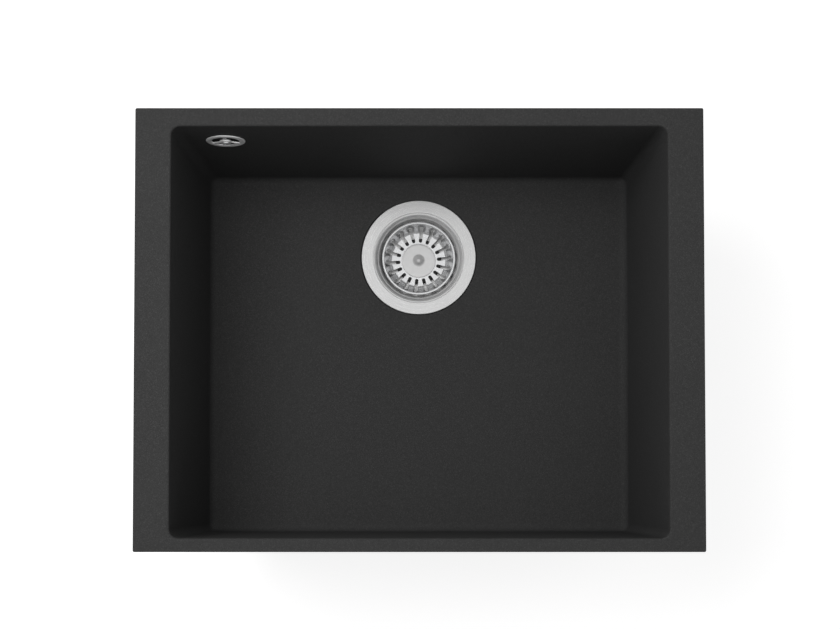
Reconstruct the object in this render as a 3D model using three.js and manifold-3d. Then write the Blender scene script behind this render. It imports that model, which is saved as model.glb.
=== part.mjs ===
// An undermount kitchen sink: a moulded granite-composite bowl with its rim, a basket strainer in the
// floor, the trap connection below it, and an overflow whose hose runs behind and under the bowl.
// Millimetres, +Z up. The origin is the middle of the rim's top face, which meets the worktop's underside;
// +Y points to the back of the sink, where the overflow and the drain are, and +X to its right.
import * as THREE from "three";
import { mergeVertices } from "three/addons/utils/BufferGeometryUtils.js";
import Module from "manifold-3d";

const wasm = await Module();
wasm.setup();

// ---------------------------------------------------------------------------------------------------
// Driving dimensions
// ---------------------------------------------------------------------------------------------------

// Gaps between pieces
const SEAT_GAP = 0.2; // between pieces that are pressed together along the vertical
const SIDE_GAP = 0.3; // between a piece and the one round it, and inside the tilted overflow
const RUNNING_GAP = 0.3; // round the stem that the basket turns on
const THROUGH = 1; // how far a cut runs past the face that it opens

// Rim
const RIM_WIDTH = 500;
const RIM_LENGTH = 390;
const RIM_THICKNESS = 12;
const RIM_CORNER = 1.5;
const RIM_ARRIS = 1; // rounding of the rim's top outer edge

// Bowl, inside
const SIDE_MARGIN = 31.5; // from the rim's side to the bowl's wall
const BACK_MARGIN = 16;
const FRONT_MARGIN = 12;
const LIP_RADIUS = 2; // rounding where the rim turns down into the bowl
const BOWL_CORNER = 8;
const BOWL_DEPTH = 190; // from the rim to the floor at the drain
const SIDE_DRAFT = 11.5; // how far each wall leans in, from the rim to the floor
const BACK_DRAFT = 9.5;
const FRONT_DRAFT = 0.5;
const FLOOR_FILLET = 10;
const FLOOR_FALL = 1.5; // the floor's fall from its edge to the drain

// Bowl, outside
const WALL = 9;
const FLOOR_THICKNESS = 9;
const OUTER_FILLET = 14;
const BOSS_MARGIN = 4; // the thick ring under the drain hole is this much wider than the recess above it
const BOSS_HEIGHT = 4;

// Threaded inserts for the fixing clips, in the underside of the rim
const INSERTS_PER_SIDE = 3;
const INSERT_SPACING = 130;
const INSERT_FROM_EDGE = 13;
const INSERT_RADIUS = 4;
const INSERT_BORE = 2.2;
const INSERT_LENGTH = 8;

// Drain hole
const DRAIN_FROM_BACK = 104; // from the rim's back edge to the drain's axis
const DRAIN_HOLE_RADIUS = 45;
const RECESS_MARGIN = 1; // the recess is this much wider than the strainer's flange
const RECESS_DEPTH = 2.4;

// Strainer cup: a pressed steel cup whose flange lies in the recess
const SHEET = 1.2;
const FLANGE_WIDTH = 12; // from the drain hole's edge out to the flange's
const CUP_CLEARANCE = 1.6; // round the basket, in the cup below its mouth
const CUP_MOUTH_DEPTH = 9.5; // how far the mouth curves down to that radius
const CUP_LIP = 1.6; // chamfer between the flange and the mouth
const CUP_FOOT = 4; // rounding between the cup's wall and its bottom
const DRAIN_OPENING = 20; // radius of the opening in the cup's bottom
const SPOKES = 3;
const SPOKE_WIDTH = 5;
const CUP_HUB_RADIUS = 7.5;
const CUP_SEAL_THICKNESS = 1.2;
const CUP_SEAL_MARGIN = 3; // from the drain hole's edge out to the seal's bore

// Basket
const BASKET_RADIUS = 36.8;
const BASKET_DROP = 5.5; // from the strainer's flange down to the basket's rim
const BASKET_DEPTH = 18;
const BASKET_SHEET = 0.9;
const BASKET_FLOOR_RADIUS = 25; // of its flat floor
const BASKET_FILLET = 5; // between the floor and the straight wall
const BEAD_WIDTH = 2.4; // the rolled bead round the basket's rim
const BEAD_HEIGHT = 2;
const BEAD_ARRIS = 0.6;
const SLOTS = 18;
const SLOT_WIDTH = 3.4;
const SLOT_FROM_PLATE = 1.3; // from the plate's edge out to the slots' inner ends
const SLOT_DROP = 7.5; // from the basket's rim down to where the slots end in its wall
const SLOT_PHASE_DEG = 84.5; // the first slot, counted from +X
const PLATE_RADIUS = 17.2;
const PLATE_THICKNESS = 1.3;
const PLATE_ARRIS = 0.5;
const KNOB_RADIUS = 6.2;
const KNOB_HEIGHT = 4;
const KNOB_EDGE = 0.6; // the upright edge under the knob's dome
const STEM_RADIUS = 2.4;
const STEM_HEAD_RADIUS = 3.7;
const STEM_HEAD_HEIGHT = 0.8;
const STEM_IN_KNOB = 2.4;

// Stopper under the basket
const STOPPER_SEAT = 2.9; // width of the stopper's seat round the opening in the cup's bottom
const STOPPER_THICKNESS = 6;
const HUB_RADIUS = 6.6;
const HUB_COLLAR_RADIUS = 8.6;
const HUB_COLLAR_HEIGHT = 1.2;
const HUB_WEB = 1.4; // what is left of the hub above its socket
const STOPPER_ARRIS = 1.5;

// Centre bolt and its insert
const BOLT_RADIUS = 2.9;
const BOLT_HEAD_RADIUS = 4.1;
const BOLT_HEAD_HEIGHT = 2.8;
const BOLT_SLOT_WIDTH = 1.2;
const BOLT_INSERT_RADIUS = 5.2;
const BOLT_INSERT_LENGTH = 10;

// Waste body: the upper plastic housing under the bowl, with the overflow's inlet
const BODY_SEAL_THICKNESS = 3;
const BODY_SEAL_WIDTH = 10;
const BODY_FLANGE_INSET = 4; // from the edge of the bowl's thick ring in to the body's flange
const BODY_FLANGE_THICKNESS = 5;
const BODY_BORE_MARGIN = 1; // the body's bore is this much wider than the drain hole
const BODY_WALL = 3;
const BODY_DEPTH = 31; // from the body's top face to where the funnel starts

// Waste outlet: the funnel and threaded spout, whose socket is glued round the body's lower end
const SOCKET_DEPTH = 6;
const SOCKET_WALL = 2.5;
const FUNNEL_DEPTH = 9;
const OUTLET_BORE = 19.5;
const OUTLET_RADIUS = 23.9; // the 1 1/2 inch pipe thread's outside
const OUTLET_LENGTH = 22;

// Bolt bridge: the boss and its three ribs, which the bolt pulls up against a shoulder in the spout
const SHOULDER_DEPTH = 3; // from the spout's upper end down to the shoulder
const SHOULDER_WIDTH = 1.6;
const BRIDGE_BOSS_RADIUS = 8.5;
const BRIDGE_RIB_WIDTH = 4;
const BRIDGE_RIB_HEIGHT = 5.8;

// Outlet nut, washer and tailpiece
const NUT_RADIUS = 28;
const NUT_GRIPS = 12;
const NUT_GRIP_RADIUS = 2.2;
const NUT_ARRIS = 1;
const NUT_OVERLAP = 15; // how far the nut runs up over the thread
const NUT_END_WALL = 3;
const WASHER_THICKNESS = 2;
const PIPE_RADIUS = 20;
const PIPE_WALL = 2.2;
const PIPE_COLLAR_RADIUS = 23.4;
const PIPE_COLLAR_THICKNESS = 2.3;
const PIPE_LENGTH = 46;

// Overflow, measured square to the back wall
const OVERFLOW_FROM_SIDE = 74; // from the rim's left side to the overflow's axis
const OVERFLOW_DEPTH = 47; // from the rim's top down to the overflow's axis
const OVERFLOW_HOLE = 14;
const ROSETTE_RADIUS = 17.8;
const ROSETTE_THICKNESS = 1.8;
const ROSETTE_OPENING = 13;
const ROSETTE_HUB = 5.2;
const ROSETTE_SPOKES = 3;
const ROSETTE_SPOKE_WIDTH = 2.6;
const ROSETTE_ARRIS = 1;
const SCREW_RADIUS = 1.9;
const SCREW_HEAD_RADIUS = 3.9;
const SCREW_HEAD_HEIGHT = 1.6;
const SCREW_CROSS_WIDTH = 0.8;
const SCREW_BITE = 5; // how far the screw runs into the elbow's boss
const OVERFLOW_SEAL_RADIUS = 20;
const OVERFLOW_SEAL_THICKNESS = 2;
const ELBOW_RADIUS = 21;
const ELBOW_DEPTH = 11;
const ELBOW_BEVEL = 4; // of the housing's back edge
const ELBOW_BEVEL_FROM = 5; // from the housing's rim to where the bevel starts
const ELBOW_WALL = 2.5;
const ELBOW_BOSS_RADIUS = 4;
const SPIGOT_RADIUS = 8;
const SPIGOT_BORE = 6.3;
const SPIGOT_LENGTH = 17;
const ELBOW_TUBE_RADIUS = 9.4;
const ELBOW_TUBE_TOP = -8; // from the overflow's axis up to the crown of the elbow's tube
const ELBOW_TUBE_LENGTH = 16;

// Overflow hose and its clamps
const HOSE_RADIUS = 10.3;
const HOSE_VALLEY = 8.7;
const HOSE_BORE = 7.1;
const HOSE_PITCH = 4.5;
const HOSE_BEND = 45;
const CUFF_LENGTH = 17;
const CLAMP_THICKNESS = 1.1;
const CLAMP_WIDTH = 8;
const CLAMP_LUG = 5;
const CLAMP_SLIT = 2;
const HOSE_FROM_WALL = 13.2; // from the back wall's outside to the hose's axis
const INLET_DEPTH = 15; // from the waste body's top face to the inlet's axis
const INLET_STANDOFF = 20; // from the waste body's flange out to the end of the inlet spigot

// Facets
const ROUND = 36; // sides of a large round piece
const SMALL_ROUND = 20;
const INSERT_ROUND = 16;
const GRIP_ROUND = 8;
const SIDES_PER_SLOT = 2; // sides of the basket's shell for each of its slots
const CORNER_STEPS = 7; // points round each corner of the bowl
const FILLET_STEPS = 4; // flats in a quarter of a bowl's fillet
const CURVE_STEPS = 4; // flats in a quarter of a small curve
const HOSE_SIDES = 8;
const RIBS_PER_BORE_RING = 5;

// ---------------------------------------------------------------------------------------------------
// Heights and places that follow from them
// ---------------------------------------------------------------------------------------------------

const halfWidth = RIM_WIDTH / 2;
const halfLength = RIM_LENGTH / 2;
const drainY = halfLength - DRAIN_FROM_BACK;

const floorZ = -BOWL_DEPTH;
const flangeRadius = DRAIN_HOLE_RADIUS + FLANGE_WIDTH;
const recessRadius = flangeRadius + RECESS_MARGIN;
const bossRadius = recessRadius + BOSS_MARGIN;
const recessZ = floorZ - RECESS_DEPTH;
const undersideZ = floorZ - FLOOR_THICKNESS;
const bossZ = undersideZ - BOSS_HEIGHT;

const cupSealZ = recessZ + SEAT_GAP;
const flangeZ = cupSealZ + CUP_SEAL_THICKNESS + SEAT_GAP + SHEET; // top of the strainer's flange

const cupMouth = DRAIN_HOLE_RADIUS - SIDE_GAP - SHEET; // radius where the flange turns down
const cupRadius = BASKET_RADIUS + CUP_CLEARANCE;
const slotInner = PLATE_RADIUS + SLOT_FROM_PLATE;
const stopperRadius = DRAIN_OPENING + STOPPER_SEAT;

const basketRimZ = flangeZ - BASKET_DROP;
const basketFloorZ = basketRimZ - BASKET_DEPTH;
const stopperTopZ = basketFloorZ - BASKET_SHEET - SIDE_GAP;
const stopperZ = stopperTopZ - STOPPER_THICKNESS;
const seatZ = stopperZ - SEAT_GAP; // top of the cup's bottom
const cupBottomZ = seatZ - SHEET;
const plateZ = basketFloorZ + SIDE_GAP;
const knobZ = plateZ + PLATE_THICKNESS + SEAT_GAP;
const hubSocketZ = stopperTopZ - HUB_WEB;

const bodyBore = DRAIN_HOLE_RADIUS + BODY_BORE_MARGIN;
const bodyRadius = bodyBore + BODY_WALL;
const shoulderRadius = OUTLET_BORE + SHOULDER_WIDTH; // the spout's bore below the shoulder
const bodyFlangeRadius = bossRadius - BODY_FLANGE_INSET;
const inletReach = bodyFlangeRadius + INLET_STANDOFF;
const bodySealZ = bossZ - SEAT_GAP;
const bodyZ = bodySealZ - BODY_SEAL_THICKNESS - SEAT_GAP;
const funnelZ = bodyZ - BODY_DEPTH;
const outletZ = funnelZ - FUNNEL_DEPTH;
const outletEndZ = outletZ - OUTLET_LENGTH;
const shoulderZ = outletZ - SHOULDER_DEPTH;
const bridgeZ = shoulderZ - SEAT_GAP - BRIDGE_RIB_HEIGHT; // underside of the bridge and its boss
const inletZ = bodyZ - INLET_DEPTH;

const washerZ = outletEndZ - SEAT_GAP;
const collarZ = washerZ - WASHER_THICKNESS - SEAT_GAP;
const nutWallZ = collarZ - PIPE_COLLAR_THICKNESS - SEAT_GAP;
const pipeEndZ = nutWallZ - NUT_END_WALL - PIPE_LENGTH;

// The overflow's own frame: its origin on the back wall's inner face, +Y square out through the wall
// and +Z up along it.
const backSlope = Math.atan(BACK_DRAFT / BOWL_DEPTH);
const overflowX = OVERFLOW_FROM_SIDE - halfWidth;
const overflowY = halfLength - BACK_MARGIN - OVERFLOW_DEPTH * Math.tan(backSlope);
const overflowFrame = new THREE.Matrix4()
  .makeTranslation(overflowX, overflowY, -OVERFLOW_DEPTH)
  .multiply(new THREE.Matrix4().makeRotationX(-backSlope));
const wallOutside = WALL * Math.cos(backSlope);
const overflowSealY = wallOutside + SIDE_GAP;
const elbowY = overflowSealY + OVERFLOW_SEAL_THICKNESS + SIDE_GAP;
const hoseY = wallOutside + HOSE_FROM_WALL;
const spigotTop = ELBOW_TUBE_TOP - ELBOW_TUBE_LENGTH;
const cuffStart = spigotTop - SIDE_GAP;

// ---------------------------------------------------------------------------------------------------
// Solids
// ---------------------------------------------------------------------------------------------------

// A closed geometry as a solid that can be joined and cut.
function solid(geometry) {
  const bare = new THREE.BufferGeometry();
  bare.setAttribute("position", geometry.getAttribute("position"));
  if (geometry.index) bare.setIndex(geometry.index);
  const merged = mergeVertices(bare, 1e-4);
  return new wasm.Manifold(
    new wasm.Mesh({
      numProp: 3,
      vertProperties: new Float32Array(merged.attributes.position.array),
      triVerts: new Uint32Array(merged.index.array),
    }),
  );
}

// A solid as a geometry, with flat faces.
function geometryOf(body) {
  const mesh = body.getMesh();
  const geometry = new THREE.BufferGeometry();
  geometry.setAttribute("position", new THREE.BufferAttribute(mesh.vertProperties, mesh.numProp));
  geometry.setIndex(new THREE.BufferAttribute(mesh.triVerts, 1));
  const flat = geometry.toNonIndexed();
  flat.computeVertexNormals();
  return flat;
}

// The solid that a closed outline of [radius, height] points makes when it turns about Z.
function turned(outline, sides = ROUND) {
  let doubleArea = 0;
  outline.forEach(([r, z], i) => {
    const [nextR, nextZ] = outline[(i + 1) % outline.length];
    doubleArea += r * nextZ - nextR * z;
  });
  const anticlockwise = doubleArea > 0 ? outline : [...outline].reverse();
  const points = [...anticlockwise, anticlockwise[0]].map(([r, z]) => new THREE.Vector2(r, z));
  return solid(new THREE.LatheGeometry(points, sides).rotateX(Math.PI / 2));
}

const disc = (radius, low, high, sides) =>
  turned([[0, low], [radius, low], [radius, high], [0, high]], sides);

const ring = (inner, outer, low, high, sides) =>
  turned([[inner, low], [outer, low], [outer, high], [inner, high]], sides);

// The points that `point` makes of the cosine and sine of steps through a right angle.
const quarter = (steps, point) =>
  Array.from({ length: steps + 1 }, (_, i) => {
    const angle = ((i / steps) * Math.PI) / 2;
    return point(Math.cos(angle), Math.sin(angle));
  });

// A box between two corners.
function block(low, high) {
  const size = high.map((value, axis) => value - low[axis]);
  const middle = high.map((value, axis) => (value + low[axis]) / 2);
  return solid(new THREE.BoxGeometry(...size).translate(...middle));
}

// The closed outline of a sheet of even thickness, from the line of its upper face, flange first.
function sheetOutline(line, thickness) {
  const lower = line.map(([r, z], i) => {
    const before = line[Math.max(i - 1, 0)];
    const after = line[Math.min(i + 1, line.length - 1)];
    const along = new THREE.Vector2(after[0] - before[0], after[1] - before[1]).normalize();
    return [r - along.y * thickness, z + along.x * thickness];
  });
  return [...line, ...lower.reverse()];
}

// A solid through rings of equal length, each an array of [x, y, z], from the lowest to the highest and
// each running anticlockwise seen from above.
function lofted(rings) {
  const count = rings[0].length;
  const positions = rings.flat(2);
  const faces = [];
  for (let level = 0; level < rings.length - 1; level++) {
    for (let i = 0; i < count; i++) {
      const a = level * count + i;
      const b = level * count + ((i + 1) % count);
      faces.push(a, b, b + count, a, b + count, a + count);
    }
  }
  const top = (rings.length - 1) * count;
  for (let i = 1; i < count - 1; i++) {
    faces.push(0, i + 1, i);
    faces.push(top, top + i, top + i + 1);
  }
  const geometry = new THREE.BufferGeometry();
  geometry.setAttribute("position", new THREE.Float32BufferAttribute(positions, 3));
  geometry.setIndex(faces);
  return solid(geometry);
}

// A rectangle with round corners at height z, as a ring.
function rectangleRing({ left, right, front, back }, corner, z) {
  const centres = [
    [right - corner, back - corner],
    [left + corner, back - corner],
    [left + corner, front + corner],
    [right - corner, front + corner],
  ];
  return centres.flatMap(([x, y], quarter) =>
    Array.from({ length: CORNER_STEPS }, (_, step) => {
      const angle = ((quarter + step / (CORNER_STEPS - 1)) * Math.PI) / 2;
      return [x + corner * Math.cos(angle), y + corner * Math.sin(angle), z];
    }),
  );
}

// A circle round the drain's axis, with as many points as rectangleRing has.
function drainRing(radius, z) {
  const count = 4 * CORNER_STEPS;
  return Array.from({ length: count }, (_, i) => {
    const angle = ((i + 0.5) / count) * 2 * Math.PI;
    return [radius * Math.cos(angle), drainY + radius * Math.sin(angle), z];
  });
}

const grown = ({ left, right, front, back }, by) => ({
  left: left - by,
  right: right + by,
  front: front - by,
  back: back + by,
});

const placed = (body, x, y, z) => body.translate([x, y, z]);
const aboutZ = (body, radians) => body.rotate([0, 0, THREE.MathUtils.radToDeg(radians)]);
const spread = (count, make) => Array.from({ length: count }, (_, i) => make((i * 2 * Math.PI) / count, i));

// ---------------------------------------------------------------------------------------------------
// Bowl
// ---------------------------------------------------------------------------------------------------

// The bowl's inner walls at height z, before the fillets.
function innerWalls(z) {
  const share = -z / BOWL_DEPTH;
  return {
    left: -halfWidth + SIDE_MARGIN + SIDE_DRAFT * share,
    right: halfWidth - SIDE_MARGIN - SIDE_DRAFT * share,
    front: -halfLength + FRONT_MARGIN + FRONT_DRAFT * share,
    back: halfLength - BACK_MARGIN - BACK_DRAFT * share,
  };
}

// Rings of a quarter-round between a wall and a floor, from the floor up.
function filletRings(walls, radius, corner, bottomZ) {
  return quarter(FILLET_STEPS, (cos, sin) => {
    const z = bottomZ + radius * (1 - cos);
    return rectangleRing(grown(walls(z), radius * (sin - 1)), corner, z);
  });
}

function bowlHollow() {
  const mouth = (out, z) =>
    rectangleRing(grown(innerWalls(-LIP_RADIUS), out), BOWL_CORNER + out, z);
  return lofted([
    drainRing(recessRadius, floorZ),
    ...filletRings(innerWalls, FLOOR_FILLET, BOWL_CORNER, floorZ + FLOOR_FALL),
    ...quarter(FILLET_STEPS, (cos, sin) => mouth(LIP_RADIUS * (1 - cos), LIP_RADIUS * (sin - 1))),
    mouth(LIP_RADIUS, THROUGH),
  ]);
}

function bowlOutside() {
  const outerWalls = (z) => grown(innerWalls(z), WALL);
  const corner = BOWL_CORNER + WALL;
  const rimWalls = { left: -halfWidth, right: halfWidth, front: -halfLength, back: halfLength };
  const rim = lofted([
    rectangleRing(rimWalls, RIM_CORNER, -RIM_THICKNESS),
    rectangleRing(rimWalls, RIM_CORNER, -RIM_ARRIS),
    rectangleRing(grown(rimWalls, -RIM_ARRIS), RIM_CORNER / 2, 0),
  ]);
  const tub = lofted([
    ...filletRings(outerWalls, OUTER_FILLET, corner, undersideZ),
    rectangleRing(outerWalls(-RIM_THICKNESS), corner, -RIM_THICKNESS),
    rectangleRing(outerWalls(-RIM_THICKNESS), corner, -RIM_THICKNESS / 2),
  ]);
  const boss = placed(disc(bossRadius, bossZ, recessZ), 0, drainY, 0);
  return rim.add(tub).add(boss);
}

// The places of the rim's inserts, as [x, y].
function insertPlaces() {
  const x = halfWidth - INSERT_FROM_EDGE;
  const middle = (INSERTS_PER_SIDE - 1) / 2;
  return [-x, x].flatMap((side) =>
    Array.from({ length: INSERTS_PER_SIDE }, (_, i) => [side, (i - middle) * INSERT_SPACING]),
  );
}

function makeBowl() {
  let bowl = bowlOutside().subtract(bowlHollow());
  const drain = disc(recessRadius, recessZ, floorZ + FLOOR_FALL).add(
    disc(DRAIN_HOLE_RADIUS, bossZ - THROUGH, recessZ + THROUGH),
  );
  bowl = bowl.subtract(placed(drain, 0, drainY, 0));
  const throughWall = disc(OVERFLOW_HOLE, -WALL, 2 * WALL, SMALL_ROUND).rotate([-90, 0, 0]);
  bowl = bowl.subtract(throughWall.transform(overflowFrame.toArray()));
  const pocket = disc(
    INSERT_RADIUS + SEAT_GAP,
    -RIM_THICKNESS - THROUGH,
    -RIM_THICKNESS + INSERT_LENGTH + SEAT_GAP,
    INSERT_ROUND,
  );
  for (const [x, y] of insertPlaces()) bowl = bowl.subtract(placed(pocket, x, y, 0));
  return bowl;
}

function makeInsert() {
  return ring(INSERT_BORE, INSERT_RADIUS, -RIM_THICKNESS, -RIM_THICKNESS + INSERT_LENGTH, INSERT_ROUND);
}

// ---------------------------------------------------------------------------------------------------
// Strainer cup, waste body and outlet, all about the drain's axis
// ---------------------------------------------------------------------------------------------------

// Three arms and a hub in one plane, between the given heights.
function spider(hubRadius, reach, width, low, high, phase) {
  return spread(SPOKES, (angle) =>
    aboutZ(block([0, -width / 2, low], [reach, width / 2, high]), angle + phase),
  ).reduce((whole, arm) => whole.add(arm), disc(hubRadius, low, high, SMALL_ROUND));
}

// Between two slots of the basket, so that no arm shows through a slot.
const spokePhase = THREE.MathUtils.degToRad(SLOT_PHASE_DEG) + Math.PI / SLOTS;

function makeCup() {
  const lipZ = flangeZ - CUP_LIP;
  const upperFace = [
    [flangeRadius, flangeZ],
    [cupMouth + CUP_LIP, flangeZ],
    ...quarter(CURVE_STEPS, (cos, sin) => [
      cupRadius + (cupMouth - cupRadius) * cos,
      lipZ - (CUP_MOUTH_DEPTH - CUP_LIP) * sin,
    ]),
    [cupRadius, seatZ + CUP_FOOT],
    [cupRadius - CUP_FOOT, seatZ],
    [DRAIN_OPENING, seatZ],
  ];
  const shell = turned(sheetOutline(upperFace, SHEET));
  const reach = (DRAIN_OPENING + cupRadius - CUP_FOOT) / 2;
  const arms = spider(CUP_HUB_RADIUS, reach, SPOKE_WIDTH, cupBottomZ, seatZ, spokePhase);
  const boltWay = disc(BOLT_RADIUS + SIDE_GAP, cupBottomZ - THROUGH, seatZ + THROUGH, SMALL_ROUND);
  return shell.add(arms).subtract(boltWay);
}

const makeCupSeal = () =>
  ring(DRAIN_HOLE_RADIUS + CUP_SEAL_MARGIN, flangeRadius, cupSealZ, cupSealZ + CUP_SEAL_THICKNESS);

function makeWasteBody() {
  const shell = turned([
    [bodyBore, bodyZ],
    [bodyFlangeRadius, bodyZ],
    [bodyFlangeRadius, bodyZ - BODY_FLANGE_THICKNESS],
    [bodyRadius, bodyZ - BODY_FLANGE_THICKNESS],
    [bodyRadius, funnelZ + SEAT_GAP],
    [bodyBore, funnelZ + SEAT_GAP],
  ]);
  const alongInlet = (radius, from, to) =>
    aboutZ(disc(radius, from, to, SMALL_ROUND).rotate([0, 90, 0]), inletAngle).translate([0, 0, inletZ]);
  return shell
    .add(alongInlet(SPIGOT_RADIUS, bodyBore + BODY_WALL / 2, inletReach))
    .subtract(alongInlet(SPIGOT_BORE, bodyBore - BODY_WALL, inletReach + THROUGH));
}

function makeWasteOutlet() {
  const socketBore = bodyRadius + SIDE_GAP;
  const socketRadius = socketBore + SOCKET_WALL;
  return turned([
    [bodyBore, funnelZ],
    [socketBore, funnelZ],
    [socketBore, funnelZ + SOCKET_DEPTH],
    [socketRadius, funnelZ + SOCKET_DEPTH],
    [socketRadius, funnelZ - BODY_WALL / 2],
    [OUTLET_RADIUS, outletZ - BODY_WALL],
    [OUTLET_RADIUS, outletEndZ],
    [shoulderRadius, outletEndZ],
    [shoulderRadius, shoulderZ],
    [OUTLET_BORE, shoulderZ],
    [OUTLET_BORE, outletZ],
  ]);
}

function makeBoltBridge() {
  const boss = disc(BRIDGE_BOSS_RADIUS, bridgeZ, cupBottomZ - SEAT_GAP, SMALL_ROUND);
  const ribs = spider(
    BRIDGE_BOSS_RADIUS,
    shoulderRadius - 2 * SIDE_GAP, // so that the corners of the ribs' square ends clear the round bore
    BRIDGE_RIB_WIDTH,
    bridgeZ,
    shoulderZ - SEAT_GAP,
    spokePhase,
  );
  const boltWay = disc(BOLT_RADIUS + SIDE_GAP, bridgeZ - THROUGH, cupBottomZ, SMALL_ROUND);
  const pocket = disc(
    BOLT_INSERT_RADIUS + SIDE_GAP,
    bridgeZ - THROUGH,
    bridgeZ + BOLT_INSERT_LENGTH + SIDE_GAP,
    SMALL_ROUND,
  );
  return boss.add(ribs).subtract(boltWay.add(pocket));
}

const makeBodySeal = () =>
  ring(bodyBore, bodyBore + BODY_SEAL_WIDTH, bodySealZ - BODY_SEAL_THICKNESS, bodySealZ);

function makeBolt() {
  const headZ = seatZ + SEAT_GAP;
  const head = disc(BOLT_HEAD_RADIUS, headZ, headZ + BOLT_HEAD_HEIGHT, SMALL_ROUND);
  const shank = disc(BOLT_RADIUS, bridgeZ + SEAT_GAP, headZ + BOLT_HEAD_HEIGHT / 2, SMALL_ROUND);
  const slot = block(
    [-BOLT_HEAD_RADIUS - THROUGH, -BOLT_SLOT_WIDTH / 2, headZ + BOLT_HEAD_HEIGHT / 2],
    [BOLT_HEAD_RADIUS + THROUGH, BOLT_SLOT_WIDTH / 2, headZ + BOLT_HEAD_HEIGHT + THROUGH],
  );
  return head.add(shank).subtract(slot);
}

const makeBoltInsert = () =>
  ring(BOLT_RADIUS + SEAT_GAP, BOLT_INSERT_RADIUS, bridgeZ, bridgeZ + BOLT_INSERT_LENGTH, SMALL_ROUND);

function makeOutletNut() {
  const topZ = outletEndZ + NUT_OVERLAP;
  const wallZ = nutWallZ - NUT_END_WALL;
  const shell = turned([
    [OUTLET_RADIUS + SIDE_GAP, topZ],
    [NUT_RADIUS, topZ],
    [NUT_RADIUS, wallZ + NUT_ARRIS],
    [NUT_RADIUS - NUT_ARRIS, wallZ],
    [PIPE_RADIUS + SIDE_GAP, wallZ],
    [PIPE_RADIUS + SIDE_GAP, nutWallZ],
    [OUTLET_RADIUS + SIDE_GAP, nutWallZ],
  ]);
  const grip = disc(NUT_GRIP_RADIUS, wallZ + 2 * NUT_ARRIS, topZ - NUT_ARRIS, GRIP_ROUND);
  return spread(NUT_GRIPS, (angle) => aboutZ(placed(grip, NUT_RADIUS, 0, 0), angle)).reduce(
    (whole, each) => whole.add(each),
    shell,
  );
}

const makeWasher = () =>
  ring(OUTLET_BORE, PIPE_COLLAR_RADIUS, washerZ - WASHER_THICKNESS, washerZ, ROUND / 2);

function makeTailpiece() {
  const bore = PIPE_RADIUS - PIPE_WALL;
  return turned(
    [
      [bore, collarZ],
      [PIPE_COLLAR_RADIUS, collarZ],
      [PIPE_COLLAR_RADIUS, collarZ - PIPE_COLLAR_THICKNESS],
      [PIPE_RADIUS, collarZ - PIPE_COLLAR_THICKNESS],
      [PIPE_RADIUS, pipeEndZ],
      [bore, pipeEndZ],
    ],
    ROUND / 2,
  );
}

// ---------------------------------------------------------------------------------------------------
// Basket and stopper
// ---------------------------------------------------------------------------------------------------

// The upper face of the basket's sheet, from its rim in: a straight wall that runs smoothly into the
// fillet round the floor.
function basketFace() {
  const wallTop = [BASKET_RADIUS - BEAD_WIDTH + BASKET_SHEET, basketRimZ - BEAD_HEIGHT / 2];
  const centre = [BASKET_FLOOR_RADIUS, basketFloorZ + BASKET_FILLET];
  const across = wallTop[0] - centre[0];
  const up = wallTop[1] - centre[1];
  const wallFoot = Math.atan2(up, across) - Math.acos(BASKET_FILLET / Math.hypot(across, up));
  const fillet = Array.from({ length: CURVE_STEPS + 1 }, (_, i) => {
    const angle = wallFoot + (i / CURVE_STEPS) * (-Math.PI / 2 - wallFoot);
    return [centre[0] + BASKET_FILLET * Math.cos(angle), centre[1] + BASKET_FILLET * Math.sin(angle)];
  });
  return [wallTop, ...fillet, [STEM_RADIUS + RUNNING_GAP, basketFloorZ]];
}

function makeBasket() {
  const sides = SIDES_PER_SLOT * SLOTS;
  const bead = turned(
    [
      [BASKET_RADIUS - BEAD_WIDTH, basketRimZ - BEAD_HEIGHT],
      [BASKET_RADIUS, basketRimZ - BEAD_HEIGHT],
      [BASKET_RADIUS, basketRimZ - BEAD_ARRIS],
      [BASKET_RADIUS - BEAD_ARRIS, basketRimZ],
      [BASKET_RADIUS - BEAD_WIDTH + BEAD_ARRIS, basketRimZ],
      [BASKET_RADIUS - BEAD_WIDTH, basketRimZ - BEAD_ARRIS],
    ],
    sides,
  );
  const shell = turned(sheetOutline(basketFace(), BASKET_SHEET), sides).add(bead);
  const half = SLOT_WIDTH / 2;
  const low = basketFloorZ - BASKET_SHEET - THROUGH;
  const high = basketRimZ - SLOT_DROP;
  const slot = block([slotInner + half, -half, low], [BASKET_RADIUS, half, high]).add(
    placed(disc(half, low, high, GRIP_ROUND), slotInner + half, 0, 0),
  );
  const phase = THREE.MathUtils.degToRad(SLOT_PHASE_DEG);
  return spread(SLOTS, (angle) => aboutZ(slot, angle + phase)).reduce(
    (whole, each) => whole.subtract(each),
    shell,
  );
}

function makePlate() {
  const top = plateZ + PLATE_THICKNESS;
  return turned([
    [STEM_RADIUS + RUNNING_GAP, plateZ],
    [PLATE_RADIUS, plateZ],
    [PLATE_RADIUS, top - PLATE_ARRIS],
    [PLATE_RADIUS - PLATE_ARRIS, top],
    [STEM_RADIUS + RUNNING_GAP, top],
  ]);
}

function makeKnob() {
  const dome = quarter(CURVE_STEPS, (cos, sin) => [
    KNOB_RADIUS * cos,
    knobZ + KNOB_EDGE + (KNOB_HEIGHT - KNOB_EDGE) * sin,
  ]);
  const hole = STEM_RADIUS + SEAT_GAP;
  const holeTop = knobZ + STEM_IN_KNOB + SEAT_GAP;
  return turned(
    [[hole, knobZ], [KNOB_RADIUS, knobZ], ...dome, [0, holeTop], [hole, holeTop]],
    SMALL_ROUND,
  );
}

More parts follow.
